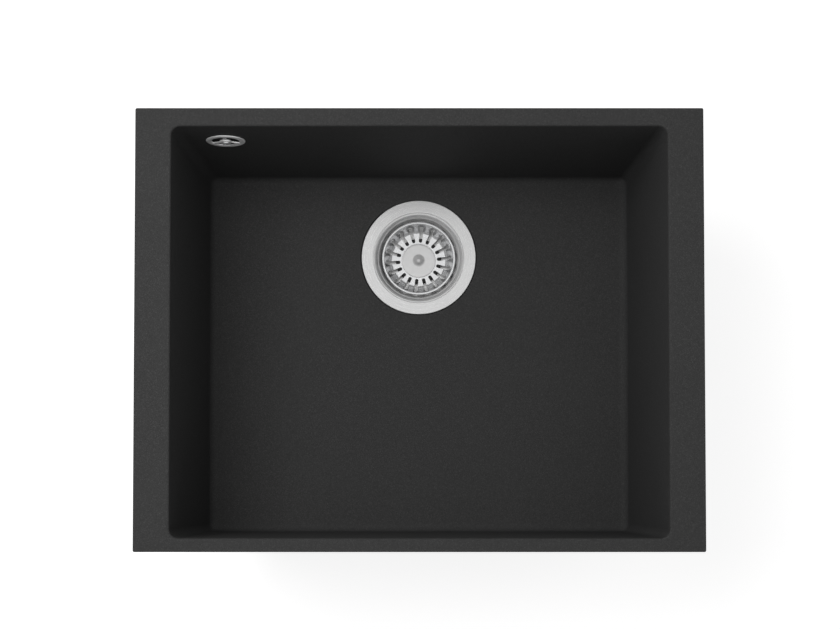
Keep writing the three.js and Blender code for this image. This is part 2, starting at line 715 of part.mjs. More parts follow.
function makeStem() {
  const headTop = hubSocketZ - SEAT_GAP;
  return disc(STEM_HEAD_RADIUS, headTop - STEM_HEAD_HEIGHT, headTop, SMALL_ROUND).add(
    disc(STEM_RADIUS, headTop - STEM_HEAD_HEIGHT, knobZ + STEM_IN_KNOB, SMALL_ROUND),
  );
}

function makeHub() {
  const socket = BOLT_HEAD_RADIUS + SIDE_GAP;
  const hole = STEM_RADIUS + SEAT_GAP;
  return turned(
    [
      [socket, stopperZ],
      [HUB_COLLAR_RADIUS, stopperZ],
      [HUB_COLLAR_RADIUS, stopperZ + HUB_COLLAR_HEIGHT],
      [HUB_RADIUS, stopperZ + HUB_COLLAR_HEIGHT],
      [HUB_RADIUS, stopperTopZ],
      [hole, stopperTopZ],
      [hole, hubSocketZ],
      [socket, hubSocketZ],
    ],
    SMALL_ROUND,
  );
}

function makeStopper() {
  const counterbore = stopperZ + HUB_COLLAR_HEIGHT + SEAT_GAP;
  return turned([
    [HUB_COLLAR_RADIUS + SIDE_GAP, stopperZ],
    [stopperRadius - STOPPER_ARRIS, stopperZ],
    [stopperRadius, stopperZ + STOPPER_ARRIS],
    [stopperRadius, stopperTopZ - STOPPER_ARRIS],
    [stopperRadius - STOPPER_ARRIS, stopperTopZ],
    [HUB_RADIUS + SIDE_GAP, stopperTopZ],
    [HUB_RADIUS + SIDE_GAP, counterbore],
    [HUB_COLLAR_RADIUS + SIDE_GAP, counterbore],
  ]);
}

// ---------------------------------------------------------------------------------------------------
// Overflow, in its own frame: turned about +Z first, then laid so that the turning axis is +Y
// ---------------------------------------------------------------------------------------------------

const laidBack = (body) => body.rotate([-90, 0, 0]);

function makeRosette() {
  const back = -SIDE_GAP;
  const front = back - ROSETTE_THICKNESS;
  const rim = turned(
    [
      [ROSETTE_OPENING, back],
      [ROSETTE_RADIUS, back],
      [ROSETTE_RADIUS, front + ROSETTE_ARRIS],
      [ROSETTE_RADIUS - ROSETTE_ARRIS, front],
      [ROSETTE_OPENING, front],
    ],
    SMALL_ROUND,
  );
  const hub = disc(ROSETTE_HUB, front, back, SMALL_ROUND);
  const spoke = block(
    [0, -ROSETTE_SPOKE_WIDTH / 2, front + ROSETTE_ARRIS / 2],
    [ROSETTE_OPENING + ROSETTE_ARRIS, ROSETTE_SPOKE_WIDTH / 2, back],
  );
  // Before it is laid back, -Y points up along the wall: the first spoke stands straight up.
  const wheel = spread(ROSETTE_SPOKES, (angle) => aboutZ(spoke, angle - Math.PI / 2)).reduce(
    (whole, each) => whole.add(each),
    rim.add(hub),
  );
  const screwHole = disc(SCREW_RADIUS + SIDE_GAP, front - THROUGH, back + THROUGH, SMALL_ROUND);
  return laidBack(wheel.subtract(screwHole));
}

function makeOverflowScrew() {
  const under = -SIDE_GAP - ROSETTE_THICKNESS - SIDE_GAP;
  const dome = quarter(CURVE_STEPS, (cos, sin) => [SCREW_HEAD_RADIUS * cos, under - SCREW_HEAD_HEIGHT * sin]);
  const head = turned([[0, under], ...dome], SMALL_ROUND);
  const shank = disc(SCREW_RADIUS, under - SCREW_HEAD_HEIGHT / 4, elbowY + SCREW_BITE, SMALL_ROUND);
  const half = SCREW_CROSS_WIDTH / 2;
  const reach = SCREW_RADIUS;
  const top = under - SCREW_HEAD_HEIGHT - THROUGH;
  const depth = under - SCREW_HEAD_HEIGHT / 2;
  const cross = block([-reach, -half, top], [reach, half, depth]).add(
    block([-half, -reach, top], [half, reach, depth]),
  );
  return laidBack(head.add(shank).subtract(cross));
}

const makeOverflowSeal = () =>
  laidBack(
    ring(
      OVERFLOW_HOLE + SIDE_GAP,
      OVERFLOW_SEAL_RADIUS,
      overflowSealY,
      overflowSealY + OVERFLOW_SEAL_THICKNESS,
      SMALL_ROUND,
    ),
  );

function makeElbow() {
  const back = elbowY + ELBOW_DEPTH;
  // The housing's outside, or with an inset its inside.
  const dish = (mouth, inset) =>
    turned(
      [
        [0, mouth],
        [ELBOW_RADIUS - inset, mouth],
        [ELBOW_RADIUS - inset, elbowY + ELBOW_BEVEL_FROM],
        [ELBOW_RADIUS - ELBOW_BEVEL - inset, back - inset],
        [0, back - inset],
      ],
      SMALL_ROUND,
    );
  const boss = disc(ELBOW_BOSS_RADIUS, elbowY, back - ELBOW_WALL / 2, SMALL_ROUND);
  const screwHole = disc(
    SCREW_RADIUS + SIDE_GAP,
    elbowY - THROUGH,
    elbowY + SCREW_BITE + SIDE_GAP,
    SMALL_ROUND,
  );
  const crown = solid(new THREE.SphereGeometry(ELBOW_TUBE_RADIUS, SMALL_ROUND, SMALL_ROUND / 2));
  const crownZ = ELBOW_TUBE_TOP - ELBOW_TUBE_RADIUS;
  const tube = disc(ELBOW_TUBE_RADIUS, spigotTop, crownZ, SMALL_ROUND).add(placed(crown, 0, 0, crownZ));
  const spigotEnd = spigotTop - SPIGOT_LENGTH;
  const spigot = disc(SPIGOT_RADIUS, spigotEnd, spigotTop + THROUGH, SMALL_ROUND);
  const way = disc(SPIGOT_BORE, spigotEnd - THROUGH, crownZ, SMALL_ROUND);
  return laidBack(dish(elbowY, 0))
    .add(placed(tube.add(spigot), 0, hoseY, 0))
    .subtract(laidBack(dish(elbowY - THROUGH, ELBOW_WALL)))
    .subtract(placed(way, 0, hoseY, 0))
    .add(laidBack(boss))
    .subtract(laidBack(screwHole));
}

// ---------------------------------------------------------------------------------------------------
// Hose: from the elbow's spigot straight down along the wall, round one bend, and straight to the
// waste body's inlet
// ---------------------------------------------------------------------------------------------------

const hoseStart = new THREE.Vector3(0, hoseY, cuffStart).applyMatrix4(overflowFrame);
const hoseDown = new THREE.Vector3(0, 0, -1).transformDirection(overflowFrame);
const hoseCorner = hoseStart
  .clone()
  .addScaledVector(hoseDown, (inletZ - hoseStart.z) / hoseDown.z);
const inletAngle = Math.atan2(hoseCorner.y - drainY, hoseCorner.x);
const hoseIn = new THREE.Vector3(-Math.cos(inletAngle), -Math.sin(inletAngle), 0);
const cuffEnd = inletReach - CUFF_LENGTH;
const hoseEnd = new THREE.Vector3(0, drainY, inletZ).addScaledVector(hoseIn, -cuffEnd);

// The point and direction at a distance along the hose's middle line.
function hoseLine() {
  const turn = hoseDown.angleTo(hoseIn);
  const tangent = HOSE_BEND * Math.tan(turn / 2);
  const first = hoseStart.distanceTo(hoseCorner) - tangent;
  const arc = HOSE_BEND * turn;
  const last = hoseCorner.distanceTo(hoseEnd) - tangent;
  const across = hoseDown.clone().cross(hoseIn).normalize();
  const bendStart = hoseStart.clone().addScaledVector(hoseDown, first);
  const inward = across.clone().cross(hoseDown);
  const at = (distance) => {
    if (distance <= first) {
      return { point: hoseStart.clone().addScaledVector(hoseDown, distance), along: hoseDown.clone() };
    }
    if (distance >= first + arc) {
      const left = first + arc + last - distance;
      return { point: hoseEnd.clone().addScaledVector(hoseIn, -left), along: hoseIn.clone() };
    }
    const angle = (distance - first) / HOSE_BEND;
    const point = bendStart
      .clone()
      .addScaledVector(hoseDown, HOSE_BEND * Math.sin(angle))
      .addScaledVector(inward, HOSE_BEND * (1 - Math.cos(angle)));
    return { point, along: hoseDown.clone().applyAxisAngle(across, angle) };
  };
  return { length: first + arc + last, across, at };
}

// A closed skin through [distance along the hose, radius] stations: out along the outside, back
// along the bore, and round to the start.
function alongHose(stations) {
  const { across, at } = hoseLine();
  const positions = stations.flatMap(([distance, radius]) => {
    const { point, along } = at(distance);
    const side = across.clone().cross(along);
    return spread(HOSE_SIDES, (angle) =>
      point
        .clone()
        .addScaledVector(across, radius * Math.cos(angle))
        .addScaledVector(side, radius * Math.sin(angle))
        .toArray(),
    ).flat();
  });
  const faces = [];
  stations.forEach((_, level) => {
    const next = (level + 1) % stations.length;
    for (let i = 0; i < HOSE_SIDES; i++) {
      const j = (i + 1) % HOSE_SIDES;
      const [a, b] = [level * HOSE_SIDES + i, level * HOSE_SIDES + j];
      const [c, d] = [next * HOSE_SIDES + i, next * HOSE_SIDES + j];
      faces.push(a, d, b, a, c, d);
    }
  });
  const geometry = new THREE.BufferGeometry();
  geometry.setAttribute("position", new THREE.Float32BufferAttribute(positions, 3));
  geometry.setIndex(faces);
  return solid(geometry);
}

function makeHose() {
  const { length } = hoseLine();
  const ribbed = length - 2 * CUFF_LENGTH;
  const ribs = Math.round(ribbed / HOSE_PITCH);
  const pitch = ribbed / ribs;
  const outside = [
    [0, HOSE_RADIUS],
    [CUFF_LENGTH, HOSE_RADIUS],
  ];
  for (let rib = 0; rib < ribs; rib++) {
    const start = CUFF_LENGTH + rib * pitch;
    outside.push([start + pitch / 3, HOSE_VALLEY], [start + pitch, HOSE_RADIUS]);
  }
  outside.push([length, HOSE_RADIUS]);
  const cuffBore = (SPIGOT_RADIUS + SIDE_GAP) / Math.cos(Math.PI / HOSE_SIDES); // its flats clear the spigot
  const boreRings = Math.ceil(ribs / RIBS_PER_BORE_RING);
  const boreStart = CUFF_LENGTH + SIDE_GAP;
  const boreLength = length - 2 * boreStart;
  const bore = Array.from({ length: boreRings + 1 }, (_, i) => [
    boreStart + (i / boreRings) * boreLength,
    HOSE_BORE,
  ]);
  const inside = [
    [0, cuffBore],
    [CUFF_LENGTH, cuffBore],
    ...bore,
    [length - CUFF_LENGTH, cuffBore],
    [length, cuffBore],
  ];
  return alongHose([...outside, ...inside.reverse()]);
}

// A spring clamp round a cuff, standing on the XY plane, with its two lugs at +X.
function makeClamp() {
  const inner = HOSE_RADIUS + SIDE_GAP;
  const outer = inner + CLAMP_THICKNESS;
  const half = CLAMP_WIDTH / 2;
  const slit = CLAMP_SLIT / 2;
  const tip = outer + CLAMP_LUG;
  const lug = block([inner + SIDE_GAP, slit, -half], [tip, slit + CLAMP_THICKNESS, half]);
  const gap = block([inner - THROUGH, -slit, -half - THROUGH], [tip, slit, half + THROUGH]);
  return ring(inner, outer, -half, half, SMALL_ROUND)
    .add(lug)
    .add(placed(lug, 0, -CLAMP_SLIT - CLAMP_THICKNESS, 0))
    .subtract(gap);
}

// ---------------------------------------------------------------------------------------------------
// Assembly
// ---------------------------------------------------------------------------------------------------

const FINISHES = {
  granite: { color: 0x38383a, roughness: 0.55, metalness: 0 },
  brushed: { color: 0xd2d3d6, roughness: 0.35, metalness: 1 },
  polished: { color: 0xdcdde0, roughness: 0.15, metalness: 1 },
  brass: { color: 0xc9a657, roughness: 0.35, metalness: 1 },
  rubber: { color: 0x1b1b1c, roughness: 0.8, metalness: 0 },
  plastic: { color: 0x2a2b2d, roughness: 0.5, metalness: 0 },
  hose: { color: 0x8d9194, roughness: 0.55, metalness: 0 },
};

function piece(name, body, finish) {
  const mesh = new THREE.Mesh(geometryOf(body), new THREE.MeshStandardMaterial(FINISHES[finish]));
  mesh.name = name;
  return mesh;
}

const sink = new THREE.Group();
sink.add(piece("bowl", makeBowl(), "granite"));
insertPlaces().forEach(([x, y], i) => {
  const insert = piece(`rim_insert_${i + 1}`, makeInsert(), "brass");
  insert.position.set(x, y, 0);
  sink.add(insert);
});

const drain = new THREE.Group();
drain.position.y = drainY;
drain.add(
  piece("strainer_cup", makeCup(), "brushed"),
  piece("cup_seal", makeCupSeal(), "rubber"),
  piece("waste_body", makeWasteBody(), "plastic"),
  piece("waste_outlet", makeWasteOutlet(), "plastic"),
  piece("bolt_bridge", makeBoltBridge(), "plastic"),
  piece("body_seal", makeBodySeal(), "rubber"),
  piece("centre_bolt", makeBolt(), "polished"),
  piece("bolt_insert", makeBoltInsert(), "brass"),
  piece("outlet_nut", makeOutletNut(), "plastic"),
  piece("outlet_washer", makeWasher(), "rubber"),
  piece("tailpiece", makeTailpiece(), "plastic"),
  piece("basket", makeBasket(), "polished"),
  piece("centre_plate", makePlate(), "brushed"),
  piece("knob", makeKnob(), "brushed"),
  piece("stem", makeStem(), "polished"),
  piece("basket_hub", makeHub(), "plastic"),
  piece("stopper_seal", makeStopper(), "rubber"),
);
sink.add(drain);

const overflow = new THREE.Group();
overflow.applyMatrix4(overflowFrame);
const upperClamp = piece("hose_clamp_upper", makeClamp(), "polished");
upperClamp.position.set(0, hoseY, cuffStart - CUFF_LENGTH / 2);
overflow.add(
  piece("overflow_rosette", makeRosette(), "polished"),
  piece("overflow_screw", makeOverflowScrew(), "polished"),
  piece("overflow_seal", makeOverflowSeal(), "rubber"),
  piece("overflow_elbow", makeElbow(), "plastic"),
  upperClamp,
);
sink.add(overflow);

sink.add(piece("overflow_hose", makeHose(), "hose"));

const lowerClamp = piece("hose_clamp_lower", makeClamp(), "polished");
lowerClamp.position.copy(hoseEnd).addScaledVector(hoseIn, -CUFF_LENGTH / 2);
lowerClamp.setRotationFromMatrix(
  new THREE.Matrix4().makeBasis(
    new THREE.Vector3(0, 0, -1),
    new THREE.Vector3().crossVectors(hoseIn, new THREE.Vector3(0, 0, -1)),
    hoseIn,
  ),
);
sink.add(lowerClamp);

export default sink;
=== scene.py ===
"""An undermount kitchen sink in black granite composite, with its strainer, waste, overflow and hose."""

import math

import bpy
from mathutils import Matrix, Vector


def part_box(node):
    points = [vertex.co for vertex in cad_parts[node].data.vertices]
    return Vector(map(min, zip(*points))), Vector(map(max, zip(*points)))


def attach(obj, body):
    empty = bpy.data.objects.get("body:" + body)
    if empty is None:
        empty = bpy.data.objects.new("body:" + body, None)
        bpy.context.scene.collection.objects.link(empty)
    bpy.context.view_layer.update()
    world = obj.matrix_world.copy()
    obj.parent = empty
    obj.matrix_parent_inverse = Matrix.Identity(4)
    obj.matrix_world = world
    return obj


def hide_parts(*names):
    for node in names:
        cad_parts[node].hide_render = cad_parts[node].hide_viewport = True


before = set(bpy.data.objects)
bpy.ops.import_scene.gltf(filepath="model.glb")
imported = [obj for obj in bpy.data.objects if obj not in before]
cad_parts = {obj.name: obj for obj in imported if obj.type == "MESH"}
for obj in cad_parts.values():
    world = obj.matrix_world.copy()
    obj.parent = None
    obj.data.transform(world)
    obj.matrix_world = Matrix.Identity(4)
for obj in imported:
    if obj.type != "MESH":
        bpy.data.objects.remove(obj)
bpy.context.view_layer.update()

MM = 0.001
QUARTER = math.pi / 2
TURN = 2 * math.pi
HAIR = 0.05 * MM  # keeps a finished surface off the one that it lies on


# ----------------------------------------------------------------------------------------------------
# Places, taken from the frame
# ----------------------------------------------------------------------------------------------------


def bottom(node):
    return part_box(node)[0].z


def top(node):
    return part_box(node)[1].z


def middle(node):
    low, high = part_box(node)
    return (low + high) / 2


def radius(node):
    low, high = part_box(node)
    return (high.x - low.x) / 2


RIM_LOW, RIM_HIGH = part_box("bowl")
DRAIN = Vector((middle("basket").x, middle("basket").y, 0))
AT_DRAIN = Matrix.Translation(DRAIN)


# ----------------------------------------------------------------------------------------------------
# Finishes
# ----------------------------------------------------------------------------------------------------


class Signal:
    """A shader value whose arithmetic adds Math nodes."""

    def __init__(self, finish, socket):
        self.finish = finish
        self.socket = socket

    def math(self, operation, first, second=0.0):
        return self.finish.node("ShaderNodeMath", {"operation": operation}, first, second)

    def __add__(self, other):
        return self.math("ADD", self, other)

    def __mul__(self, other):
        return self.math("MULTIPLY", self, other)

    def __rsub__(self, other):
        return self.math("SUBTRACT", other, self)

    __radd__ = __add__
    __rmul__ = __mul__

    def above(self, limit, softness):
        """0 under the limit, 1 over it, with a soft step."""
        return self.finish.node(
            "ShaderNodeMapRange",
            {"interpolation_type": "SMOOTHSTEP"},
            self,
            limit - softness,
            limit + softness,
        )


class Finish:
    """A material whose constants sit on its shader and whose varying values come from nodes."""

    def __init__(self, name, **constants):
        self.material = bpy.data.materials.new(name)
        self.material.use_nodes = True
        self.tree = self.material.node_tree
        self.shader = self.tree.nodes["Principled BSDF"]
        for socket, value in constants.items():
            self.shader.inputs[socket.replace("_", " ")].default_value = value
        self.place = self.node("ShaderNodeTexCoord", {}, output="Object")

    def node(self, kind, settings, *inputs, output=0, **named):
        made = self.tree.nodes.new(kind)
        for key, value in settings.items():
            setattr(made, key, value)
        pairs = list(zip(made.inputs, inputs))
        pairs += [(made.inputs[key.replace("_", " ")], value) for key, value in named.items()]
        for socket, value in pairs:
            if isinstance(value, Signal):
                self.tree.links.new(value.socket, socket)
            else:
                socket.default_value = value
        return Signal(self, made.outputs[output])

    def drive(self, socket, signal):
        self.tree.links.new(signal.socket, self.shader.inputs[socket])

    def mix(self, factor, first, second):
        """A colour between two."""
        made = self.tree.nodes.new("ShaderNodeMix")
        made.data_type = "RGBA"
        for socket, value in ((made.inputs[0], factor), (made.inputs[6], first), (made.inputs[7], second)):
            if isinstance(value, Signal):
                self.tree.links.new(value.socket, socket)
            else:
                socket.default_value = value
        return Signal(self, made.outputs[2])

    def noise(self, size, detail=2.0, place=None, roughness=0.5):
        """Noise from 0 to 1 whose features are about `size` metres across."""
        sockets = {"Vector": place or self.place, "Scale": 1 / size, "Detail": detail, "Roughness": roughness}
        return self.node("ShaderNodeTexNoise", {}, **sockets)

    def relief(self, height, depth):
        """Raises the surface by `height` times `depth` metres."""
        self.drive("Normal", self.node("ShaderNodeBump", {}, Height=height, Distance=depth, Strength=1.0))


def grey(level, tint=(1.0, 1.0, 1.0)):
    return tuple(level * t for t in tint) + (1.0,)


def granite_finish():
    """Matt black composite: fine quartz grains in resin, a few of them lighter, with a soft sheen."""
    finish = Finish("granite_composite", Specular_IOR_Level=0.12)
    grain = 0.55 * MM
    cells = {"Vector": finish.place, "Scale": 1 / grain}
    colour = finish.node("ShaderNodeTexVoronoi", {}, output="Color", **cells)
    chance = finish.node("ShaderNodeSeparateColor", {}, colour)
    light_grain = chance.above(0.86, 0.02)
    dark_grain = 1 - chance.above(0.18, 0.03)
    cloud = finish.noise(60 * MM, detail=3.0)
    base = finish.mix(cloud, grey(0.027), grey(0.031))
    speckled = finish.mix(light_grain * 0.4, base, grey(0.06))
    finish.drive("Base Color", finish.mix(dark_grain * 0.4, speckled, grey(0.015)))
    pits = finish.noise(0.9 * MM, detail=3.0)
    finish.drive("Roughness", 0.58 + pits * 0.14 + cloud * 0.05)
    edge = finish.node("ShaderNodeTexVoronoi", {}, output="Distance", **cells)
    finish.relief(pits * 0.7 + edge * 0.5, 0.05 * MM)
    return finish.material


def brushed_finish(name, level, centre, rough):
    """Steel brushed in circles round `centre`: fine rings that vary slowly along their length."""
    finish = Finish(name, Metallic=0.5)
    across = finish.node("ShaderNodeVectorMath", {"operation": "SUBTRACT"}, finish.place, tuple(centre))
    flat = finish.node("ShaderNodeVectorMath", {"operation": "MULTIPLY"}, across, (1.0, 1.0, 0.0))
    reach = finish.node("ShaderNodeVectorMath", {"operation": "LENGTH"}, flat, output="Value")
    round_way = finish.node("ShaderNodeVectorMath", {"operation": "NORMALIZE"}, flat)
    ringed = finish.node("ShaderNodeVectorMath", {"operation": "SCALE"}, round_way, Scale=6 * MM)
    depth = finish.node("ShaderNodeSeparateXYZ", {}, across, output="Z")
    stretched = finish.node("ShaderNodeCombineXYZ", {}, reach * 14, depth * 14, 0.0)
    strokes_at = finish.node("ShaderNodeVectorMath", {"operation": "ADD"}, ringed, stretched)
    strokes = finish.noise(2.2 * MM, detail=6.0, place=strokes_at, roughness=0.65)
    patches = finish.noise(18 * MM, detail=2.0)
    shade = strokes * 0.6 + patches * 0.4
    finish.drive("Base Color", finish.mix(shade, grey(level * 0.88), grey(level * 1.06)))
    finish.drive("Roughness", rough - 0.06 + strokes * 0.16)
    finish.relief(strokes, 0.02 * MM)
    return finish.material


def polished_finish():
    """Bright pressed steel with the faint waviness and hairlines of use."""
    finish = Finish("polished_steel", Metallic=0.72)
    waves = finish.noise(5 * MM, detail=3.0)
    hairs = finish.noise(0.6 * MM, detail=4.0, roughness=0.7)
    cool = (1.0, 1.005, 1.015)
    finish.drive("Base Color", finish.mix(hairs, grey(0.60, cool), grey(0.76, cool)))
    finish.drive("Roughness", 0.13 + hairs * 0.12)
    finish.relief(waves + hairs * 0.08, 0.2 * MM)
    return finish.material


def satin_finish(name, level, rough):
    """Steel with an even, blasted skin."""
    finish = Finish(name, Metallic=0.55)
    skin = finish.noise(0.4 * MM, detail=4.0, roughness=0.6)
    drift = finish.noise(4 * MM, detail=2.0)
    shade = skin * 0.5 + drift * 0.5
    finish.drive("Base Color", finish.mix(shade, grey(level * 0.85), grey(level * 1.1)))
    finish.drive("Roughness", rough - 0.05 + skin * 0.1)
    finish.relief(skin, 0.02 * MM)
    return finish.material


def brass_finish():
    finish = Finish("brass", Metallic=1.0)
    tarnish = finish.noise(2.5 * MM, detail=4.0)
    finish.drive("Base Color", finish.mix(tarnish, (0.50, 0.31, 0.10, 1.0), (0.72, 0.50, 0.19, 1.0)))
    finish.drive("Roughness", 0.24 + tarnish * 0.2)
    finish.relief(finish.noise(0.3 * MM), 0.01 * MM)
    return finish.material


def rubber_finish():
    finish = Finish("rubber", Specular_IOR_Level=0.35)
    skin = finish.noise(0.5 * MM, detail=3.0)
    bloom = finish.noise(7 * MM, detail=3.0)
    finish.drive("Base Color", finish.mix(bloom, grey(0.010), grey(0.019)))
    finish.drive("Roughness", 0.62 + skin * 0.22)
    finish.relief(skin, 0.03 * MM)
    return finish.material


def plastic_finish(name, dark, light, tint, rough):
    """Moulded plastic: a fine spark-eroded grain, and tone that drifts slightly over a piece."""
    finish = Finish(name, Specular_IOR_Level=0.45)
    grain = finish.noise(0.35 * MM, detail=2.0)
    drift = finish.noise(25 * MM, detail=3.0)
    finish.drive("Base Color", finish.mix(drift, grey(dark, tint), grey(light, tint)))
    finish.drive("Roughness", rough + grain * 0.14 + drift * 0.08)
    finish.relief(grain, 0.02 * MM)
    return finish.material


GRANITE = granite_finish()
BRUSHED = brushed_finish("brushed_steel", 0.61, DRAIN, 0.24)
POLISHED = polished_finish()
SATIN = satin_finish("satin_steel", 0.63, 0.4)
DULL = satin_finish("dull_steel", 0.52, 0.36)
# A paler copy of the satin steel for the rosette: its extra paleness is painted light, standing in for light
# that the shaded back wall does not get.
LIT_SATIN = satin_finish("satin_steel_painted_lit", 0.78, 0.5)
BRASS = brass_finish()
RUBBER = rubber_finish()
PLASTIC = plastic_finish("waste_plastic", 0.014, 0.022, (0.95, 1.0, 1.08), 0.36)
HOSE_PLASTIC = plastic_finish("hose_plastic", 0.24, 0.30, (0.96, 1.0, 1.05), 0.34)


# ----------------------------------------------------------------------------------------------------
# Shapes
# ----------------------------------------------------------------------------------------------------


def shape(name, points, faces):
    """A mesh object, not yet a piece."""
    mesh = bpy.data.meshes.new(name)
    mesh.from_pydata([tuple(p) for p in points], [], faces)
    mesh.validate()
    made = bpy.data.objects.new(name, mesh)
    bpy.context.scene.collection.objects.link(made)
    return made


def softened(outline, steps=4):
    """A closed outline of (across, up, corner radius) with each corner turned into an arc."""
    points = []
    for i, (across, up, round_off) in enumerate(outline):
        corner = Vector((across, up))
        back = Vector(outline[i - 1][:2]) - corner
        on = Vector(outline[(i + 1) % len(outline)][:2]) - corner
        angle = back.angle(on)
        if round_off <= 0 or angle > math.pi - 0.02:
            points.append(corner)
            continue
        reach = min(round_off / math.tan(angle / 2), 0.48 * back.length, 0.48 * on.length)
        arc_radius = reach * math.tan(angle / 2)
        inward = (back.normalized() + on.normalized()).normalized()
        centre = corner + inward * (arc_radius / math.sin(angle / 2))
        start = corner + back.normalized() * reach - centre
        end = corner + on.normalized() * reach - centre
        sweep = math.pi - angle
        for step in range(steps + 1):
            share = step / steps
            weights = (math.sin((1 - share) * sweep), math.sin(share * sweep))
            points.append(centre + (start * weights[0] + end * weights[1]) / math.sin(sweep))
    return points


def turned(name, outline, sides=96, place=AT_DRAIN, steps=4, bulge=None):
    """The solid that a closed outline makes round the vertical axis of `place`.

    The outline runs anticlockwise, with its radius across and its height up. `bulge` gives how
    far a point at (radius, height, angle) is moved out."""
    outline = softened(outline, steps)
    points = []
    columns = []
    for spot in outline:
        if spot.x < 1e-7:
            columns.append([len(points)] * sides)
            points.append(place @ Vector((0, 0, spot.y)))
            continue
        columns.append(list(range(len(points), len(points) + sides)))
        for i in range(sides):
            angle = TURN * i / sides
            reach = spot.x + (bulge(spot.x, spot.y, angle) if bulge else 0)
            points.append(place @ Vector((reach * math.cos(angle), reach * math.sin(angle), spot.y)))
    faces = []
    for here, there in zip(columns, columns[1:] + columns[:1]):
        for i in range(sides):
            j = (i + 1) % sides
            face = [here[i], here[j], there[j], there[i]]
            face = [v for k, v in enumerate(face) if v not in face[:k]]
            if len(face) > 2:
                faces.append(face)
    return shape(name, points, faces)


def bar(name, low, high, place):
    """A box between two corners, for cuts and joins."""
    corners = [(x, y, z) for x in (low[0], high[0]) for y in (low[1], high[1]) for z in (low[2], high[2])]
    faces = [(0, 1, 3, 2), (4, 6, 7, 5), (0, 4, 5, 1), (2, 3, 7, 6), (0, 2, 6, 4), (1, 5, 7, 3)]
    return shape(name, [place @ Vector(c) for c in corners], faces)


def lofted(name, rings, closed=False):
    """A skin through rings of equal length, capped at both ends unless it closes on itself."""
    count = len(rings[0])
    points = [p for ring in rings for p in ring]
    faces = []
    spans = len(rings) if closed else len(rings) - 1
    for level in range(spans):
        here = level * count
        there = (level + 1) % len(rings) * count
        for i in range(count):
            j = (i + 1) % count
            faces.append((here + i, here + j, there + j, there + i))
    if not closed:
        faces.append(tuple(reversed(range(count))))
        faces.append(tuple(range(len(points) - count, len(points))))
    return shape(name, points, faces)


def applied(made):
    """Makes an object's modifiers part of its mesh."""
    bpy.context.view_layer.update()
    baked = bpy.data.meshes.new_from_object(made.evaluated_get(bpy.context.evaluated_depsgraph_get()))
    made.modifiers.clear()
    made.data = baked
    return made


def combined(made, tools, operation="DIFFERENCE"):
    """Cuts the tools out of an object, or joins them to it, and throws them away."""
    for tool in tools:
        change = made.modifiers.new(operation, "BOOLEAN")
        change.operation = operation
        change.solver = "EXACT"
        change.object = tool
    applied(made)
    for tool in tools:
        bpy.data.objects.remove(tool)
    return made


def bevelled(made, width, segments=2, angle=35):
    edge = made.modifiers.new("edges", "BEVEL")
    edge.width = width
    edge.segments = segments
    edge.limit_method = "ANGLE"
    edge.angle_limit = math.radians(angle)
    edge.harden_normals = False
    return applied(made)


def piece(made, material, body, *nodes, sharp=32):
    """Finishes an object as a piece that rides on a body and stands for CAD nodes."""
    made.data.materials.clear()
    made.data.materials.append(material)
    made.data.polygons.foreach_set("use_smooth", [True] * len(made.data.polygons))
    made.data.set_sharp_from_angle(angle=math.radians(sharp))
    weights = made.modifiers.new("shading", "WEIGHTED_NORMAL")
    weights.keep_sharp = True
    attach(made, body)
    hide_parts(*nodes)
    return made


def arc(steps):
    """The cosine and sine of steps through a right angle."""
    return [(math.cos(QUARTER * i / steps), math.sin(QUARTER * i / steps)) for i in range(steps + 1)]


# ----------------------------------------------------------------------------------------------------
# Bowl
# ----------------------------------------------------------------------------------------------------

BOWL_DEPTH = 190 * MM
SIDE_MARGIN, BACK_MARGIN, FRONT_MARGIN = 31.5 * MM, 16 * MM, 12 * MM
SIDE_DRAFT, BACK_DRAFT, FRONT_DRAFT = 11.5 * MM, 9.5 * MM, 0.5 * MM
BOWL_CORNER = 8 * MM
LIP = 2 * MM
FLOOR_FILLET = 8 * MM
FLOOR_FALL = 1.5 * MM
WALL = 9 * MM
OUTER_FILLET = 14 * MM
RIM_THICKNESS = 12 * MM
RIM_ARRIS = 1 * MM
RIM_CORNER = 1.5 * MM
RIM_FILLET = 5 * MM  # between the rim's underside and the wall
UNDERSIDE = -BOWL_DEPTH - WALL
DRAIN_HOLE = 45 * MM
RECESS = radius("strainer_cup") + 1 * MM
RECESS_DEPTH = 2.4 * MM
BOSS = 62 * MM
SIDE_POINTS = 14
CORNER_POINTS = 12
INSERTS = [f"rim_insert_{i + 1}" for i in range(6)]


def walls(z, out=0.0):
    """The bowl's inner walls at height z, moved out by `out`: left, right, front, back."""
    share = -z / BOWL_DEPTH
    return (
        RIM_LOW.x + SIDE_MARGIN + SIDE_DRAFT * share - out,
        RIM_HIGH.x - SIDE_MARGIN - SIDE_DRAFT * share + out,
        RIM_LOW.y + FRONT_MARGIN + FRONT_DRAFT * share - out,
        RIM_HIGH.y - BACK_MARGIN - BACK_DRAFT * share + out,
    )


def rectangle(sides, corner, z):
    """A ring of points round a rectangle with round corners, anticlockwise from above."""
    left, right, front, back = sides
    centres = [
        (right - corner, back - corner),
        (left + corner, back - corner),
        (left + corner, front + corner),
        (right - corner, front + corner),
    ]
    ring = []
    for quarter, (x, y) in enumerate(centres):
        for step in range(CORNER_POINTS):
            angle = QUARTER * (quarter + step / (CORNER_POINTS - 1))
            ring.append(Vector((x + corner * math.cos(angle), y + corner * math.sin(angle), z)))
        start = ring[-1]
        x, y = centres[(quarter + 1) % 4]
        angle = QUARTER * (quarter + 1)
        end = Vector((x + corner * math.cos(angle), y + corner * math.sin(angle), z))
        ring += [start.lerp(end, i / (SIDE_POINTS + 1)) for i in range(1, SIDE_POINTS + 1)]
    return ring


